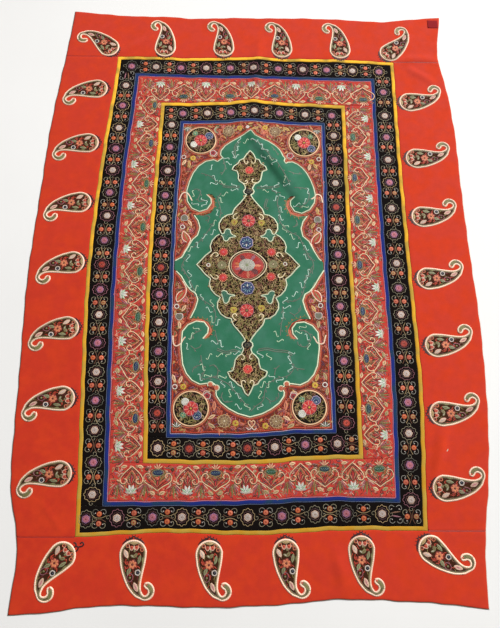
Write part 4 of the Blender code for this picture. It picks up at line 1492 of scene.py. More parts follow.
def boteh(threads, node):
    """The stitches of one boteh."""
    head, turn = BOTEHS[node]
    spot = Spot(head, turn)
    outline = spot(boteh_outline())
    inner = even(np.append(outline, outline[0]), STEP)
    tangent = np.gradient(inner)
    for distance, dye, width in ((4.6, "reed", 3.0), (7.4, "brown", 2.0)):
        threads.line(inner + distance * 1j * tangent / abs(tangent), dye, width)
    for place in BOTEH_GROUND:
        dye = ("dark_red", "brick", "olive", "maroon", "umber")[RANDOM.integers(5)]
        s_curl(threads, spot.spot(place, RANDOM.uniform(40, 130)), dye, 15, 2.6)
    for place, way in BOTEH_CURLS:
        hook(threads, spot.spot(place, way), "brick", 11, 2.6)
    threads.rise += LAYER
    for leaf in BOTEH_LEAVES:
        outlined_leaf(threads, spot.spot(leaf["at"], leaf["turn"]), leaf["length"], leaf["width"],
                      leaf["edge"], leaf["inside"])
    for place in BOTEH_TULIPS:
        tulip = spot.spot(place)
        threads.disc(tulip, "tomato", 5.8)
        threads.rise += LAYER
        threads.disc(tulip, "dark_red", 2.2)
        threads.line(curve(tulip([(-7, -6), (-6, 1), (0, 8), (6, 1), (7, -6)])), "blush", 2.6)
        threads.rise -= LAYER
    for place in BOTEH_BUDS:
        threads.disc(spot.spot(place), "dark_red", 3.4)
        threads.ring(spot.spot(place), "coral", 5.4, 2.4, lobes=4, depth=0.15)
    threads.petal(spot.spot((-3, -25), 92), "blush", 13, 4.5)
    threads.disc(spot.spot((-4, -9)), "reed", 3.4)
    flower = spot.spot(BOTEH_FLOWER)
    threads.disc(flower, "maroon", 15.5, lobes=5, depth=0.15)
    threads.rise += LAYER
    for k in range(7):
        petal = flower.spot(0, 360 * k / 7).spot(8.2)
        threads.disc(petal, "coral", 4.5, long=1.2)
        threads.line(petal(curve([-3, 3])), "salmon", 1.6)
    threads.ring(flower, "gold", 4.6, 2.0)
    threads.disc(flower, "dark_red", 3.4)
    threads.rise -= LAYER
    ring = spot.spot(BOTEH_RING)
    threads.disc(ring, "black", 5.4)
    threads.rise += LAYER
    threads.disc(ring.spot((-1, 0)), "slate_blue", 1.8)
    threads.ring(ring, "pearl", 7.6, 3.4, lobes=5, depth=0.12)
    threads.rise -= LAYER
    seed = spot.spot(BOTEH_SEED, 80)
    threads.ring(seed, "mauve", 9.0, 2.2, long=1.3)
    threads.disc(seed, "reed", 3.2)
    threads.rise -= LAYER
    cord(threads, outline, "shell", 5.6, clockwise=False, link=6.2)


def boteh_crowns():
    """The dark brackets on the botehs' heads."""
    threads = Threads(FACE_TOP)
    for node, (head, turn) in BOTEHS.items():
        if node == "boteh_corner_bottom_left":
            for points in BOTEH_SPRIG:
                threads.stroke(HERE(points), "wine", 4.8, rows=2)
            continue
        spot = Spot(head, turn)
        for mirrored in (False, True):
            half = spot.spot(mirrored=mirrored)
            threads.stroke(half(BOTEH_CROWN), "wine", 3.8)
            threads.line(curve(half([(1, -46), (9, -43.6), (19, -39.5), (27, -33)])), "wine", 3.4)
            for place, way in (((2, -50), -60), ((11, -46), -62), ((20, -42), -50)):
                threads.petal(half.spot(place, way), "wine", 7, 3.2)
    threads.build("stitches_boteh_crowns")


def joints(outer, inner, corners):
    """The lines along which the four strips of a border meet."""
    lines = []
    for k, side in enumerate(SIDES):
        previous = SIDES[k - 1]
        if corners[k] == side:
            start, axis = inner[side][0], 1 - ALONG[side]
            end = after(outer[previous], axis, coordinate(start, axis))[0]
        else:
            start, axis = inner[previous][-1], 1 - ALONG[previous]
            end = before(outer[side], axis, coordinate(start, axis))[-1]
        lines.append(curve([start, end]))
    return lines


def joint_threads():
    """Red whip stitches that close the joints at the red border's corners."""
    threads = Threads(FACE_TOP - JOINT_SINK)
    for line in joints(seam_lines(CLOTH_EDGE, LINING_SHOWS + 3), seam_lines(OUTER_FRAME, -1.5),
                       LEVEL_CORNERS):
        threads.line(line, "scarlet", 5.6, rows=2)
    threads.build("stitches_joints")


def all_botehs():
    """The stitches of every boteh."""
    threads = Threads(APPLIED_TOP)
    for node in BOTEHS:
        boteh(threads, node)
    threads.build("stitches_botehs")


def double(threads, spot, points, dye, width, step=STEP):
    """A line given as its right half, drawn together with its mirror image."""
    for mirrored in (False, True):
        threads.line(curve(spot.spot(mirrored=mirrored)(points), step=step), dye, width)


def lotus(threads, spot):
    """White lotus with green strokes between its petals, on a pink foot."""
    for side in (False, True):
        half = spot.spot(mirrored=side)
        for row in LOTUS:
            threads.petal(half.spot(0, 90 + row["turn"]), row["dye"], row["length"], row["width"])
    threads.rise += LAYER
    for turn, dye in ((-56, "deep_green"), (-30, "forest"), (0, "deep_green"), (30, "forest"),
                      (56, "deep_green")):
        threads.line(spot.spot(2j, 90 + turn)(curve([4, 14 - 0.05 * abs(turn)])), dye, 2.2)
    threads.line(curve(spot([(-8, 1), (0, -3), (8, 1)])), "blush", 2.4)
    threads.rise -= LAYER


def nest(threads, spot, points, way):
    """Shorter and shorter lines inside an arch, given by its right half and the way its apex points."""
    for row in NESTED:
        share = row["in"] / 26
        inside = [complex(x * (1 - share), y - way * row["in"] * 1.25) for x, y in points[:5]]
        double(threads, spot, inside, row["dye"], row["width"])


def inward_arch(threads, spot):
    """Arch that points inward, with a lotus on its outer side."""
    nest(threads, spot, ARCH_IN, 1)
    threads.rise += LAYER
    shadow = [point - 2.8j for point in HERE(ARCH_IN)]
    double(threads, spot, shadow, "brown", 3.0)
    threads.rise += LAYER
    double(threads, spot, ARCH_IN, "apricot", 3.4, step=FINE_STEP)
    double(threads, spot, ARCH_LINK, "apricot", 3.4)
    threads.rise -= LAYER
    for turn, dye, length in ((-30, "brown", 24), (30, "brown", 24), (-21, "salmon", 23),
                              (21, "salmon", 23),
                              (-12, "dark_red", 25), (12, "dark_red", 25), (0, "red", 28)):
        threads.petal(spot.spot(-10j, 90 + turn), dye, length, 5)
    lotus(threads, spot.spot(-33j))
    threads.rise -= LAYER
    for side in (False, True):
        half = spot.spot(mirrored=side)
        outlined_leaf(threads, half.spot((15, 47), -12), 20, 11, "apricot", "olive")
        threads.disc(half.spot((46, 38)), "brown", 6.4, lobes=6, depth=0.2)
        threads.disc(half.spot((46, 38)), "salmon", 3.6)
        threads.disc(half.spot((46, 38)), "olive", 1.8)
        for row in FAN_LEAVES:
            leaf = half.spot((42, 0), -90 + row["turn"])
            threads.petal(leaf.spot(8), row["dye"], row["length"] - 8, row["width"])
            threads.line(leaf(curve([10, row["length"] - 6])), row["vein"], 1.6)


def outward_arch(threads, spot):
    """Arch that points outward, with a palmette on its inner side."""
    nest(threads, spot, ARCH_OUT, -1)
    threads.rise += LAYER
    shadow = [point + 2.8j for point in HERE(ARCH_OUT)]
    double(threads, spot, shadow, "brown", 3.0)
    threads.rise += LAYER
    double(threads, spot, ARCH_OUT, "apricot", 3.4, step=FINE_STEP)
    threads.rise -= LAYER
    threads.petal(spot.spot(-13j, 90), "dark_red", 20, 11)
    threads.rise += LAYER
    threads.petal(spot.spot(-11j, 90), "red", 15, 7)
    threads.rise -= LAYER
    for side in (False, True):
        half = spot.spot(mirrored=side)
        outlined_leaf(threads, half.spot((6, -36), 24), 19, 12, ("apricot", "tan")[RANDOM.integers(2)],
                      "olive")
        threads.line(curve(half([(12, 6), (20, 11), (24, 18)])), "brown", 2.6)
        threads.line(curve(half([(6, 10), (12, 14), (16, 20)])), "olive", 2.6)
        threads.petal(half.spot((24, 43), -14), "umber", 17, 6)
        threads.petal(half.spot((22, 40), 12), "mauve", 15, 5)
        threads.disc(half.spot((27, 30)), "blush", 3.6)
        threads.disc(half.spot((27, 30)), "brown", 1.6)
    palm = spot.spot(27j)
    threads.ring(palm, ("khaki", "sage")[RANDOM.integers(2)], 9.4, 2.4, long=1.9)
    threads.disc(palm, ("forest", "navy", "navy", "ink")[RANDOM.integers(4)], 8.2, long=1.95)
    threads.rise += LAYER
    zigzag = [(-13, 0), (-10, 3), (-7, -3), (-3.5, 3), (0, -3), (3.5, 3), (7, -3), (10, 3), (13, 0)]
    threads.line(palm(zigzag), "seafoam", 1.8)
    threads.rise -= LAYER
    threads.line(curve(spot([(-21, 31), (-11, 37), (0, 39), (11, 37), (21, 31)])), "brown", 2.4)
    for k, turn in enumerate((-54, -36, -18, 0, 18, 36, 54)):
        ray = spot.spot(38j, 90 - turn)
        threads.petal(ray, "scarlet" if k % 2 else "apricot", 17, 4.2)
    threads.rise -= LAYER


def band_hooks(threads, spot):
    """Four curls and two mauve leaves between two flowers."""
    for above in (1, -1):
        for side in (1, -1):
            points = [complex(side * x, above * y) for x, y in PAIR_CURL]
            threads.stroke(spot(points), "slate", 1.9)
            threads.disc(spot.spot(points[-1]), "pearl", 1.9)
        threads.petal(spot.spot((-14, 4 * above), 8 * above), ("mauve", "umber")[above > 0], 30, 4.6)


def main_border():
    """All the stitches on the main border."""
    threads = Threads(FACE_TOP)
    outer, inner = seam_lines(MAIN_BORDER, OUTER_BLUE), seam_lines(INNER_FRAME, 0)
    for k, side in enumerate(SIDES):
        owns = LEVEL_CORNERS[k] == side, LEVEL_CORNERS[(k + 1) % 4] == side
        strip = strip_outline(outer, inner, side, *owns)
        scatter(threads, strip, GROUND_PITCH["border"], BORDER_GROUND, 2.4, margin=6.0)
    threads.rise = MOTIF_RISE
    for side, rows in MAIN_ARCHES.items():
        for place in rows["inward"]:
            inward_arch(threads, band_spot("main", side, place))
        for place in rows["outward"]:
            outward_arch(threads, band_spot("main", side, place))
    threads.build("stitches_main_border")


def seam_threads():
    """Couched threads along the edges of the blue fillets."""
    threads = Threads(FACE_TOP + LAYER)
    seams = {"main": MAIN_BORDER, "field": FIELD_FRAME}
    for row in SEAM_THREADS:
        line = even(loop_of(seam_lines(seams[row["seam"]], row["inset"])))[::-1]
        threads.line(line, row["dye"], row["width"], closed=True)
    threads.build("stitches_fillet_edges")


def fan(threads, spot):
    """Open fan of thin white petals over dark green."""
    for turn in (-62, -22, 20, 60):
        threads.petal(spot.spot(0, 90 + turn), "ink", 16, 7.0)
    threads.rise += LAYER
    for turn, dye in ((-84, "bone"), (-56, "white"), (-28, "sage"), (0, "white"), (28, "bone"),
                      (56, "white"), (84, "sage")):
        threads.petal(spot.spot(0, 90 + turn), dye, 19, 3.4)
    threads.line(curve(spot([(-12, 0), (-6, -5), (0, -6), (6, -5), (12, 0)])), "copper", 2.6)
    threads.rise -= LAYER


def rosette(threads, spot):
    """Large olive flower with thin spokes, dark dots and a scalloped rim."""
    threads.disc(spot, "umber", 20, lobes=10, depth=0.08)
    threads.ring(spot, "tan", 21.5, 2.6, lobes=10, depth=0.12)
    threads.rise += LAYER
    for k in range(10):
        petal = spot.spot(0, 36 * k + 18)
        threads.petal(petal.spot(6), "khaki", 12, 5.2)
        threads.line(spot.spot(0, 36 * k)(curve([5, 19])), "cream", 1.4)
        threads.disc(petal.spot(15), "brown", 2.5)
    threads.ring(spot, "khaki", 7, 2.2)
    threads.disc(spot, "cream", 3.6)
    threads.disc(spot, "leaf_green", 2.2)
    threads.rise -= LAYER


def yellow_flower(threads, spot):
    """Small yellow flower of five petals."""
    petal_flower(threads, spot, 11, 5, "yellow", "red", gap="brown", eye_size=0.26)


def small_flower(threads, spot):
    """Small white flower with a red eye."""
    petal_flower(threads, spot, 7.5, 5, "white", "red", gap="mauve", eye_size=0.24)


def pale_leaf(threads, spot):
    """Pale leaf with a warm middle."""
    outlined_leaf(threads, spot.spot(-13), 27, 12, ("gold", "peach", "tan")[RANDOM.integers(3)],
                  "umber")


def bud(threads, spot):
    """Crimson blossom in a pale scalloped outline, on a pale foot."""
    heart = spot.spot(9j)
    threads.disc(heart, "crimson", 11, lobes=5, depth=0.15)
    threads.rise += LAYER
    threads.disc(heart, "wine", 4)
    threads.ring(heart, "pearl", 12.5, 3.0, lobes=5, depth=0.2)
    threads.rise -= LAYER
    threads.line(curve(spot([(-13, 1), (-6, -6), (0, -8), (6, -6), (13, 1)])), "blush", 3.2)


def ring_flower(threads, spot):
    """White ring with a dark eye."""
    threads.disc(spot, "dark_red", 5.0)
    threads.ring(spot, "white", 7.5, 3.0)


def cup(threads, spot):
    """Grey-green cup with a pale rim, its flat side down."""
    rim = [(-9, -10), (-12, -3), (-11, 4), (-6, 10), (0, 12), (6, 10), (11, 4), (12, -3), (9, -10),
           (0, -10)]
    threads.patch(curve(spot(rim), closed=True)[:-1], "faded")
    threads.rise += LAYER
    threads.line(curve(spot(rim), closed=True)[:-1], "pearl", 3.2, closed=True)
    threads.line(curve(spot([(-5, -5), (-3, 3), (3, 4), (5, -4)])), "olive", 2.0)
    threads.rise -= LAYER


def rose_curl(threads, spot):
    """Crimson spiral."""
    threads.stroke(spot(spiral(0, 2, 9, 0, 500, 12)), "rose", 3.0)
    threads.disc(spot, "red", 2.6)


def knob(threads, spot):
    """Round knob with a pale cord on the side that its x axis looks to."""
    threads.disc(spot, "copper", 8.5)
    threads.rise += LAYER
    s_curl(threads, spot.spot(0, 70), "brick", 11, 2.4)
    threads.line(spot(arc(0, 9.2, -118, 118, 14)), "ivory", 4.0)
    threads.rise -= LAYER


def crescent(threads, spot):
    """Pale green crescent with a lighter back."""
    line = [(6, 12), (-5, 10), (-11, 1), (-8, -8), (3, -12)]
    threads.line(curve(spot(line)), "sage", 7.0, taper=True, rows=3)
    threads.line(curve(spot([(4, 14), (-7, 12), (-14, 1), (-10, -10), (2, -15)])), "cream", 2.4,
                 taper=True)
    threads.disc(spot.spot((6, 0)), "copper", 4.0)


def heart(threads, spot):
    """Pale heart with a copper middle."""
    threads.petal(spot.spot(-7j, 90), "copper", 13, 8)
    threads.rise += LAYER
    double(threads, spot, [(0, -12), (9, -2), (11, 6), (5, 10), (0, 5)], "peach", 3.4)
    threads.petal(spot.spot(-3j, 90), "khaki", 7, 3)
    threads.rise -= LAYER


def tall_bud(threads, spot):
    """Tall dark red bud."""
    outlined_leaf(threads, spot.spot(-14j, 90), 32, 13, "salmon", "dark_red")


# The spandrels' motifs by kind
FIELD_MOTIFS = {
    "fan": fan, "rosette": rosette, "yellow": yellow_flower, "small": small_flower,
    "leaf": pale_leaf, "bud": bud, "ring": ring_flower, "crescent": crescent,
    "cup": cup, "curl": rose_curl, "heart": heart, "tall_bud": tall_bud,
}


def offset_line(outline, distance):
    """A closed clockwise outline moved outward, in even steps."""
    line = even(np.append(outline, outline[0]), 4.0)[:-1]
    tangent = np.roll(line, -2) - np.roll(line, 2)
    return line + 1j * distance * tangent / np.maximum(abs(tangent), 1e-9)


def runs_inside(line, keep):
    """The stretches of a closed line whose points are to be kept."""
    if keep.all():
        return [np.append(line, line[0])]
    start = int(np.argmin(keep))
    line, keep = np.roll(line, -start), np.roll(keep, -start)
    cuts = np.flatnonzero(np.diff(keep.astype(int))) + 1
    parts = zip(np.split(line, cuts), np.split(keep, cuts))
    return [part for part, mark in parts if mark[0] and len(part) > 4]


def follow(threads, outline, distance, dye, width, inside, clear):
    """A row of stitches beside an outline, only where it stays free and inside a region."""
    line = offset_line(outline, distance)
    away, within = distance_to(line, inside)
    near, _ = distance_to(line, outline)
    keep = within & (away > 3) & (near > abs(distance) * 0.86)
    for centre, radius in clear:
        keep &= abs(line - complex(*centre)) > radius
    for part in runs_inside(line, keep):
        if abs(np.diff(part)).sum() > 12:
            threads.line(even(part), dye, width)


def field():
    """All the stitches between the cartouche and the inner blue fillet."""
    threads = Threads(FACE_TOP)
    edge = loop_of(seam_lines(FIELD_FRAME, INNER_BLUE + GAP / 2))
    for place in spandrel_places(edge, GROUND_PITCH["field"]):
        size = FIELD_CURL_LENGTH * RANDOM.uniform(0.7, 1.4)
        spot = Spot(place, RANDOM.uniform(0, 360), 1.0, RANDOM.random() < 0.5)
        dyes = FIELD_LOWER if place.imag < FIELD_LOWER_FROM else FIELD_GROUND
        dye = dyes[RANDOM.integers(len(dyes))]
        if RANDOM.random() < FIELD_LEAF_SHARE:
            outlined_leaf(threads, spot.spot(-0.5 * size), 1.3 * size, 7,
                          ("gold", "coral")[RANDOM.integers(2)], dye)
        elif RANDOM.random() < 0.5:
            hook(threads, spot.spot(-0.5 * size), dye, size, 2.3)
        else:
            s_curl(threads, spot, dye, size, 2.6)
    threads.rise = LAYER
    holes = tuple((centre, radius + 8) for centre, radius in ROUNDELS.values())
    for row in CARTOUCHE_ECHOES:
        follow(threads, CARTOUCHE, row["out"], row["dye"], row["width"], edge, holes)
    for row in HOOK_BACKS:
        line = curve(HERE(row["line"]), step=FINE_STEP)
        tangent = np.gradient(line)
        left = 1j * tangent / abs(tangent)
        threads.line(line + row["side"] * 4.8 * left, "copper", 8.0, rows=3)
        threads.line(line + row["side"] * 8.6 * left, "brick", 2.4)
    ring = even(loop_of(seam_lines(FIELD_FRAME, INNER_BLUE + 5)))[::-1]
    threads.line(ring, "brick", 3.0, closed=True)
    for centre, radius in ROUNDELS.values():
        threads.ring(Spot(centre), "copper", radius + 5.5, 3.0)
        threads.ring(Spot(centre), "dark_red", radius + 9.0, 2.6)
    threads.rise = 2 * LAYER
    for row in FIELD_PLACES:
        FIELD_MOTIFS[row["kind"]](threads, Spot(row["at"], row["turn"]))
    for row in FIELD_LOOPS:
        threads.patch(curve(HERE(row["line"][:9]), step=FINE_STEP), "brick")
        threads.rise += MOTIF_RISE
        threads.stroke(HERE(row["line"]), "shell", 4.2, rows=2)
        foot, tip = complex(*row["foot"]), complex(*row["tip"])
        outlined_leaf(threads, Spot(foot, math.degrees(np.angle(tip - foot))), abs(tip - foot), 10,
                      "olive", "copper")
        threads.rise -= MOTIF_RISE
    for sign in (-1, 1):
        threads.line(curve(HERE([(-5, -560), (-5 + sign * 8, -568), (-5 + sign * 16, -562)])), "white",
                     2.4)
    threads.build("stitches_field")


def spandrel_places(edge, pitch):
    """Uneven net of places on the field's ground, clear of what is applied to it."""
    places = uneven_net(edge, pitch)
    away, inside = distance_to(places, edge)
    places = places[inside & (away > 7)]
    away, inside = distance_to(places, CARTOUCHE)
    places = places[~inside & (away > 14)]
    for centre, radius in ROUNDELS.values():
        places = places[abs(places - complex(*centre)) > radius + 9]
    return places


def cartouche_edge():
    """Cord along the green cartouche, the arches on its lobes and the threads on the hooks' backs."""
    threads = Threads(APPLIED_TOP)
    for row in CARTOUCHE_CORDS:
        threads.line(stretch(CARTOUCHE, row["from"], row["to"])[::-1], "ivory", 4.9, profile=CORD)
    for row in HOOK_BACKS:
        line = curve(HERE(row["line"]), step=FINE_STEP)
        threads.line(line, "olive", 1.8)
        for k in range(4, len(line) - 3, 5):
            way = line[k + 1] - line[k - 1]
            out = Spot(line[k], math.degrees(np.angle(-1j * row["side"] * way)) + 25 * row["side"])
            threads.petal(out, ("olive", "copper")[k % 2], 7.5, 3.2)
    for points in HOOK_ARCHES:
        threads.stroke(HERE(points), "shell", 4.4, rows=2)
    threads.disc(Spot((-247, 273)), "copper", 7.0)
    threads.rise = KNOB_RISE
    for row in CARTOUCHE_KNOBS:
        knob(threads, Spot(row["at"], row["turn"]))
    threads.build("stitches_cartouche_edge")


def roundels():
    """The stitches of the four roundels."""
    threads = Threads(APPLIED_TOP)
    for node, (centre, radius) in ROUNDELS.items():
        flowers = ROUNDEL_FLOWERS[node]
        threads.rise = 0.0
        scatter(threads, arc(complex(*centre), radius - 3, 360, 0, 40)[:-1], GROUND_PITCH["roundel"],
                MEDALLION_GROUND, 2.3,
                holes=((centre, 25), (flowers["white"], 14), (flowers["blue"], 15)))
        threads.rise = MOTIF_RISE
        wheel_flower(threads, Spot(centre, 10), 24, "red", "blush", "yellow")
        spiral_flower(threads, Spot(flowers["white"]), 13, "white", "sage")
        navy_flower(threads, Spot(flowers["blue"]), 14)
        petal_flower(threads, Spot(flowers["green"]), 9, 5, "leaf_green", "yellow", gap="cream",
                     edge="sage")
        cord(threads, arc(complex(*centre), radius, 360, 0, 90)[:-1], "peach", 4.9)
    threads.build("stitches_roundels")


def heart_spot(points):
    """Places about the medallion's heart, which comes to a blunt point on the right."""
    points = np.asarray(points, complex)
    share = np.clip(points.real / np.maximum(abs(points), 1e-9), 0, 1)
    squeeze = 1 - HEART["point"] * share ** 2
    return complex(*HEART["centre"]) + points.real + 1j * points.imag * squeeze


def centre_disc(threads):
    """Egg-shaped heart of the medallion, in coloured sectors round a pale rosette."""
    spot, radius, long = Spot(HEART["centre"]), HEART["radius"], HEART["long"]
    threads.disc(heart_spot, "scarlet", radius - 4, centre=20, long=long)
    threads.rise += LAYER
    for row in HEART_SECTORS:
        threads.petal(spot.spot(0, row["turn"]).spot(20), row["dye"], 27, row["width"])
        threads.line(spot.spot(0, row["turn"] + 10)(curve([26, 47])), "wine", 1.5)
    for turn in (-55, -130, 118):
        threads.petal(spot.spot(0, turn).spot(19), "brown", 14, 10)
    threads.rise += LAYER
    rosette = spot.spot((-3, 2))
    threads.disc(rosette, "stone", 24.5, lobes=16, depth=0.05, long=1.2)
    threads.rise += LAYER
    for k in range(16):
        threads.petal(rosette.spot(0, 22.5 * k).spot(9), "pearl", 15, 3.4)
    for k in range(12):
        threads.line(rosette.spot(0, 30 * k + 11)(curve([5, 23])), "sage", 1.4)
    for k in range(8):
        threads.disc(rosette.spot(0, 45 * k + 11).spot(14), "faded", 1.9)
    threads.disc(rosette, "sage", 6.0)
    threads.disc(rosette, "brown", 2.6)
    threads.rise -= 3 * LAYER
    threads.ring(heart_spot, "dark_red", radius - 5.0, 2.8, long=long)
    threads.ring(heart_spot, "peach", radius - 2.4, 1.8, long=long)
    threads.ring(heart_spot, "brown", radius + 1.0, 3.0, long=long)
    threads.ring(heart_spot, "cream", radius + 4.6, 3.6, long=long)


def medallion():
    """All the stitches of the medallion and its pendants."""
    threads = Threads(UPPER_TOP)
    necks = [HERE(points)[[0, -1]].mean() for points in TREFOILS]
    necks += [2 * MEDALLION_CENTRE.real - np.conj(neck) for neck in necks]
    holes = [(MEDALLION_BLUE[0], 24), (MEDALLION_BLUE[1], 24), (HEART["centre"], 66)]
    holes += [(place, 17) for place in MEDALLION_RED + MEDALLION_OLIVE]
    holes += [(place, 26) for place in MEDALLION_LARGE]
    holes += [(place, 12) for place in MEDALLION_YELLOW + MEDALLION_BEADS]
    holes += [(place, 16) for place in PENDANT_FLOWERS]
    scatter(threads, MEDALLION, GROUND_PITCH["medallion"], MEDALLION_GROUND, 2.3, holes=holes)
    threads.rise = MOTIF_RISE
    centre_disc(threads)
    for k, place in enumerate(MEDALLION_BLUE):
        navy_flower(threads, Spot(place, 180 * k), 23)
    for place in MEDALLION_RED:
        dotted_flower(threads, Spot(place), 17, "red", 14, "salmon", "pink")
    for place in MEDALLION_OLIVE:
        petal_flower(threads, Spot(place), 18, 8, "reed", "cream", gap="brown", eye_size=0.18,
                     edge="umber")
    for place in MEDALLION_RINGS:
        ring_flower(threads, Spot(place, 0, 0.8))
    for place in MEDALLION_LARGE:
        wheel_flower(threads, Spot(place, 10), 24, "red", "blush", "olive")
    for place in MEDALLION_YELLOW:
        petal_flower(threads, Spot(place, 30), 13, 3, "mustard", "red", gap="brown", eye_size=0.2)
    for place in MEDALLION_BEADS:
        threads.disc(Spot(place), "black", 10, long=1.25)
        threads.rise += LAYER
        threads.ring(Spot(place), "olive", 5.4, 1.8, long=1.25)
        threads.rise -= LAYER
    for place in PENDANT_FLOWERS:
        petal_flower(threads, Spot(place, 20), 15, 6, "red", "dark_red", gap="salmon", edge="salmon")
    for points in TREFOILS:
        for mirrored in (False, True):
            line = HERE(points)
            line = 2 * MEDALLION_CENTRE.real - np.conj(line) if mirrored else line
            threads.patch(line, "deep_green")
            threads.rise += MOTIF_RISE
            threads.stroke(line, "ivory", 4.2, rows=2)
            threads.rise -= MOTIF_RISE
    for points in MEDALLION_SCROLLS:
        threads.stroke(HERE(points), "cream", 3.8)
    line = even(np.append(MEDALLION, MEDALLION[0]), 2.6)[:-1]
    free = np.min([abs(line - neck) for neck in necks], axis=0) > 4.5
    for part in runs_inside(line, free):
        threads.line(part[::-1], "ivory", 4.8, profile=CORD)
    threads.build("stitches_medallion")


def green_ground():
    """The stitches on the green cartouche."""
    threads = Threads(APPLIED_TOP)
    for points in GREEN_STEMS:
        line = curve(HERE(points))
        threads.line(line, "dusk", 3.4)
        for k in range(4, len(line) - 3, 6):
            side = 1 if k // 6 % 2 else -1
            way = math.degrees(np.angle(line[k + 1] - line[k - 1]))
            threads.petal(Spot(line[k], way + 38 * side), "dusk", RANDOM.uniform(9, 14), 4.0,
                          0.12 * side)
    for points in GREEN_TWIN_STEMS:
        line = curve(HERE(points))
        tangent = np.gradient(line)
        for side in (-3, 3):
            threads.line(line + side * 1j * tangent / abs(tangent), "dusk", 3.6)
    threads.rise = LAYER
    for x, y, turn in GREEN_SCROLLS:
        spot = Spot((x, y), turn, RANDOM.uniform(0.85, 1.1), RANDOM.random() < 0.45)
        threads.stroke(spot(SCROLL), ("frost", "frost", "mint")[RANDOM.integers(3)], 2.6)
    threads.build("stitches_green")


def link(tree, source, target):
    """Join two node sockets."""
    tree.links.new(source, target)


def new_material(name):
    """Empty node material with its shader and surface output."""
    material = bpy.data.materials.new(name)
    material.use_nodes = True
    tree = material.node_tree
    return material, tree, tree.nodes["Principled BSDF"]


def set_inputs(node, values):
    """Constants for some of a node's inputs, by their names."""
    for name, value in values.items():
        node.inputs[name].default_value = value


def own_place(tree):
    """The object's own coordinates."""
    return tree.nodes.new("ShaderNodeTexCoord").outputs["Object"]


def noise(tree, scale, detail=3.0, roughness=0.5):
    """Noise over the object's own coordinates."""
    place = own_place(tree)
    node = tree.nodes.new("ShaderNodeTexNoise")
    set_inputs(node, {"Scale": scale, "Detail": detail, "Roughness": roughness})
    link(tree, place, node.inputs["Vector"])
    return node.outputs["Fac"]


def spread(tree, value, low, high):
    """Stretch a value's middle range to run from 0 to 1."""
    node = tree.nodes.new("ShaderNodeMapRange")
    set_inputs(node, {"From Min": low, "From Max": high})
    link(tree, value, node.inputs["Value"])
    return node.outputs["Result"]


def mix_colour(tree, share, first, second, mode="MIX"):
    """Mix two colours, each a constant or a socket."""
    node = tree.nodes.new("ShaderNodeMix")
    node.data_type = "RGBA"
    node.blend_type = mode
    factor, a, b = node.inputs[0], node.inputs[6], node.inputs[7]
    if isinstance(share, float):
        factor.default_value = share
    else:
        link(tree, share, factor)
    for value, socket in ((first, a), (second, b)):
        if isinstance(value, tuple):
            socket.default_value = (*value, 1.0)
        else:
            link(tree, value, socket)
    return node.outputs[2]


def arithmetic(tree, operation, first, second=0.5):
    """One math node, each input a constant or a socket."""
    node = tree.nodes.new("ShaderNodeMath")
    node.operation = operation
    for value, socket in zip((first, second), node.inputs):
        if isinstance(value, (int, float)):
            socket.default_value = value
        else:
            link(tree, value, socket)
    return node.outputs[0]


def bump(tree, shader, height, strength, distance):
    """Relief of the surface from a height socket."""
    node = tree.nodes.new("ShaderNodeBump")
    set_inputs(node, {"Strength": strength, "Distance": distance})
    link(tree, height, node.inputs["Height"])
    link(tree, node.outputs["Normal"], shader.inputs["Normal"])


def shades(colour, gain):
    """A colour made lighter or darker."""
    return tuple(min(1.0, part * gain) for part in colour)


def dimmed(tree, colour, share, low, high=1.0):
    """A colour times a grey that runs between two values."""
    return mix_colour(tree, 1.0, colour, mix_colour(tree, share, (low,) * 3, (high,) * 3), "MULTIPLY")


def felt(name, colour, faded=None, tint=None):
    """Fulled wool: matt, with short fibres, soft fading, a faint nap and any painted light slope."""
    material, tree, shader = new_material(name)
    dark = sum(colour) < 0.1
    fade = spread(tree, noise(tree, 2.6, 2.0), 0.3, 0.7)
    mottle = spread(tree, noise(tree, 34.0, 4.0, 0.6), 0.3, 0.7)
    fibre = noise(tree, 900.0, 2.0, 0.6)
    base = mix_colour(tree, fade, shades(colour, 0.95), shades(colour, 1.05))
    # Painted light: the cloth turns to its paler lit colour toward the side where the key light falls
    if faded:
        place = tree.nodes.new("ShaderNodeSeparateXYZ")
        link(tree, own_place(tree), place.inputs["Vector"])
        slope = arithmetic(tree, "ADD",
                           arithmetic(tree, "MULTIPLY", place.outputs["X"], faded["across"]),
                           arithmetic(tree, "MULTIPLY", place.outputs["Y"], faded["up"]))
        base = mix_colour(tree, spread(tree, slope, -0.7, 0.7), base, faded["colour"])
    if tint:
        base = mix_colour(tree, spread(tree, noise(tree, 16.0, 2.0, 0.6), 0.42, 0.62), base, tint)
    toned = dimmed(tree, base, mottle, 0.90)
    hairy = dimmed(tree, toned, spread(tree, fibre, 0.3, 0.7), 0.86)
    link(tree, hairy, shader.inputs["Base Color"])
    set_inputs(shader, {"Roughness": 0.95, "Specular IOR Level": 0.08 if dark else 0.14,
                        "Sheen Weight": 0.01 if dark else 0.05, "Sheen Roughness": 0.6})
    relief = arithmetic(tree, "ADD", fibre, noise(tree, 260.0, 3.0, 0.6))
    bump(tree, shader, relief, 0.35, 0.0006)
    return material


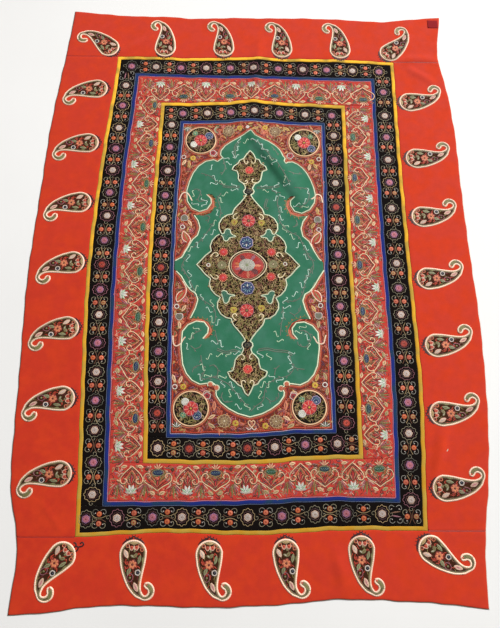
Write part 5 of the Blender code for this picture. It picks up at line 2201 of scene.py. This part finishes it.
def plain_weave(name, colour):
    """Plain cotton: crossing threads about half a millimetre apart, slightly slubbed."""
    material, tree, shader = new_material(name)
    place = own_place(tree)
    threads = []
    for direction in ("X", "Y"):
        wave = tree.nodes.new("ShaderNodeTexWave")
        wave.bands_direction = direction
        set_inputs(wave, {"Scale": 310.0, "Distortion": 0.6, "Detail": 1.0})
        link(tree, place, wave.inputs["Vector"])
        threads.append(wave.outputs["Fac"])
    weave = arithmetic(tree, "MULTIPLY", *threads)
    slub = spread(tree, noise(tree, 60.0, 3.0, 0.6), 0.3, 0.7)
    fade = spread(tree, noise(tree, 3.0, 2.0), 0.3, 0.7)
    base = mix_colour(tree, fade, shades(colour, 0.86), shades(colour, 1.06))
    toned = mix_colour(tree, slub, base, shades(colour, 0.92))
    link(tree, dimmed(tree, toned, weave, 0.80), shader.inputs["Base Color"])
    set_inputs(shader, {"Roughness": 0.9, "Specular IOR Level": 0.25})
    bump(tree, shader, weave, 0.3, 0.0004)
    return material


def silk():
    """Chain stitch in silk: a chevron of links along each row, dyed by the stitches' own colours, with
    painted shade in the grooves.
    """
    material, tree, shader = new_material("silk_stitches")
    dye = tree.nodes.new("ShaderNodeAttribute")
    dye.attribute_name = "dye"
    stitches = tree.nodes.new("ShaderNodeUVMap")
    stitches.uv_map = "stitches"
    parts = tree.nodes.new("ShaderNodeSeparateXYZ")
    link(tree, stitches.outputs["UV"], parts.inputs["Vector"])
    across = arithmetic(tree, "ABSOLUTE", arithmetic(
        tree, "SUBTRACT", arithmetic(tree, "FRACT", parts.outputs["Y"]), 0.5))
    phase = arithmetic(tree, "ADD", parts.outputs["X"], arithmetic(tree, "MULTIPLY", across, 1.3))
    wave = arithmetic(tree, "SINE", arithmetic(tree, "MULTIPLY", phase, 2 * math.pi))
    links = arithmetic(tree, "ADD", arithmetic(tree, "MULTIPLY", wave, 0.5), 0.5)
    groove = spread(tree, across, 0.5, 0.3)
    height = arithmetic(tree, "MULTIPLY", arithmetic(
        tree, "ADD", arithmetic(tree, "MULTIPLY", links, 0.6), 0.4), groove)
    worn = spread(tree, noise(tree, 55.0, 3.0, 0.6), 0.32, 0.7)
    strand = noise(tree, 1500.0, 1.0)
    # Painted shade and highlight: the dye is darker in the grooves between links and rows and a little
    # lighter on the links' crowns
    dyed = dimmed(tree, dye.outputs["Color"], height, 0.62, 1.04)
    aged = mix_colour(tree, worn, (0.82, 0.80, 0.78), (1.0, 1.0, 1.0))
    dyed = mix_colour(tree, 1.0, dyed, aged, "MULTIPLY")
    link(tree, dimmed(tree, dyed, strand, 0.90, 1.06), shader.inputs["Base Color"])
    set_inputs(shader, {"Roughness": 0.5, "Specular IOR Level": 0.35,
                        "Sheen Weight": 0.1, "Sheen Roughness": 0.4})
    bump(tree, shader, height, 0.5, 0.0008)
    return material


def make_floor():
    """Plain pale floor under the panel."""
    corners = FLOOR_REACH * np.array([(-1, -1, 0), (1, -1, 0), (1, 1, 0), (-1, 1, 0)])
    material, tree, shader = new_material("floor_plain")
    grain = spread(tree, noise(tree, 1.2, 4.0), 0.3, 0.7)
    link(tree, mix_colour(tree, grain, (0.74, 0.73, 0.71), (0.78, 0.77, 0.75)),
         shader.inputs["Base Color"])
    set_inputs(shader, {"Roughness": 0.85})
    floor = mesh_object("floor", corners, np.array([(0, 1, 2, 3)]), material)


def area_light(name, place, size, power):
    """Soft square white light that faces the panel's middle."""
    light = bpy.data.lights.new(name, "AREA")
    light.shape = "SQUARE"
    light.size = size
    light.energy = power
    obj = bpy.data.objects.new(name, light)
    obj.location = place
    obj.rotation_euler = (-Vector(place)).to_track_quat("-Z", "Y").to_euler()
    bpy.context.scene.collection.objects.link(obj)


def make_light():
    """A strong light low at the panel's upper right, a soft one overhead and a pale sky."""
    for name, light in LIGHTS.items():
        area_light(name, **light)
    world = bpy.data.worlds.new("studio")
    world.use_nodes = True
    ground = world.node_tree.nodes["Background"]
    ground.inputs["Color"].default_value = (1.0, 1.0, 1.0, 1.0)
    ground.inputs["Strength"].default_value = SKY_STRENGTH
    bpy.context.scene.world = world
    bpy.context.scene.view_settings.view_transform = "Standard"


def make_camera():
    """Camera at the photo's angle, found from the seams of the panel."""
    camera = bpy.data.cameras.new("camera")
    camera.sensor_fit = "VERTICAL"
    camera.sensor_height = 36.0
    camera.lens = CAMERA_LENS
    obj = bpy.data.objects.new("camera", camera)
    obj.location = CAMERA_PLACE
    obj.rotation_mode = "ZYX"
    obj.rotation_euler = CAMERA_TURN
    bpy.context.scene.collection.objects.link(obj)
    bpy.context.scene.camera = obj


CARTOUCHE = cartouche_outline()
MEDALLION = medallion_outline()
MATERIALS = {name: felt(f"felt_{name}", colour, PAINTED_LIGHT_SLOPE.get(name), TINTS.get(name))
             for name, colour in CLOTHS.items()}
MATERIALS["lining"] = plain_weave("cotton_lining", CLOTHS["lining"])
MATERIALS["patch_cloth"] = plain_weave("cotton_patch", CLOTHS["patch_cloth"])
MATERIALS["silk"] = silk()

make_camera()
make_light()
make_floor()
lay_cloths()
black_band("outer")
black_band("inner")
seam_threads()
joint_threads()
main_border()
field()
cartouche_edge()
green_ground()
medallion()
roundels()
boteh_crowns()
all_botehs()
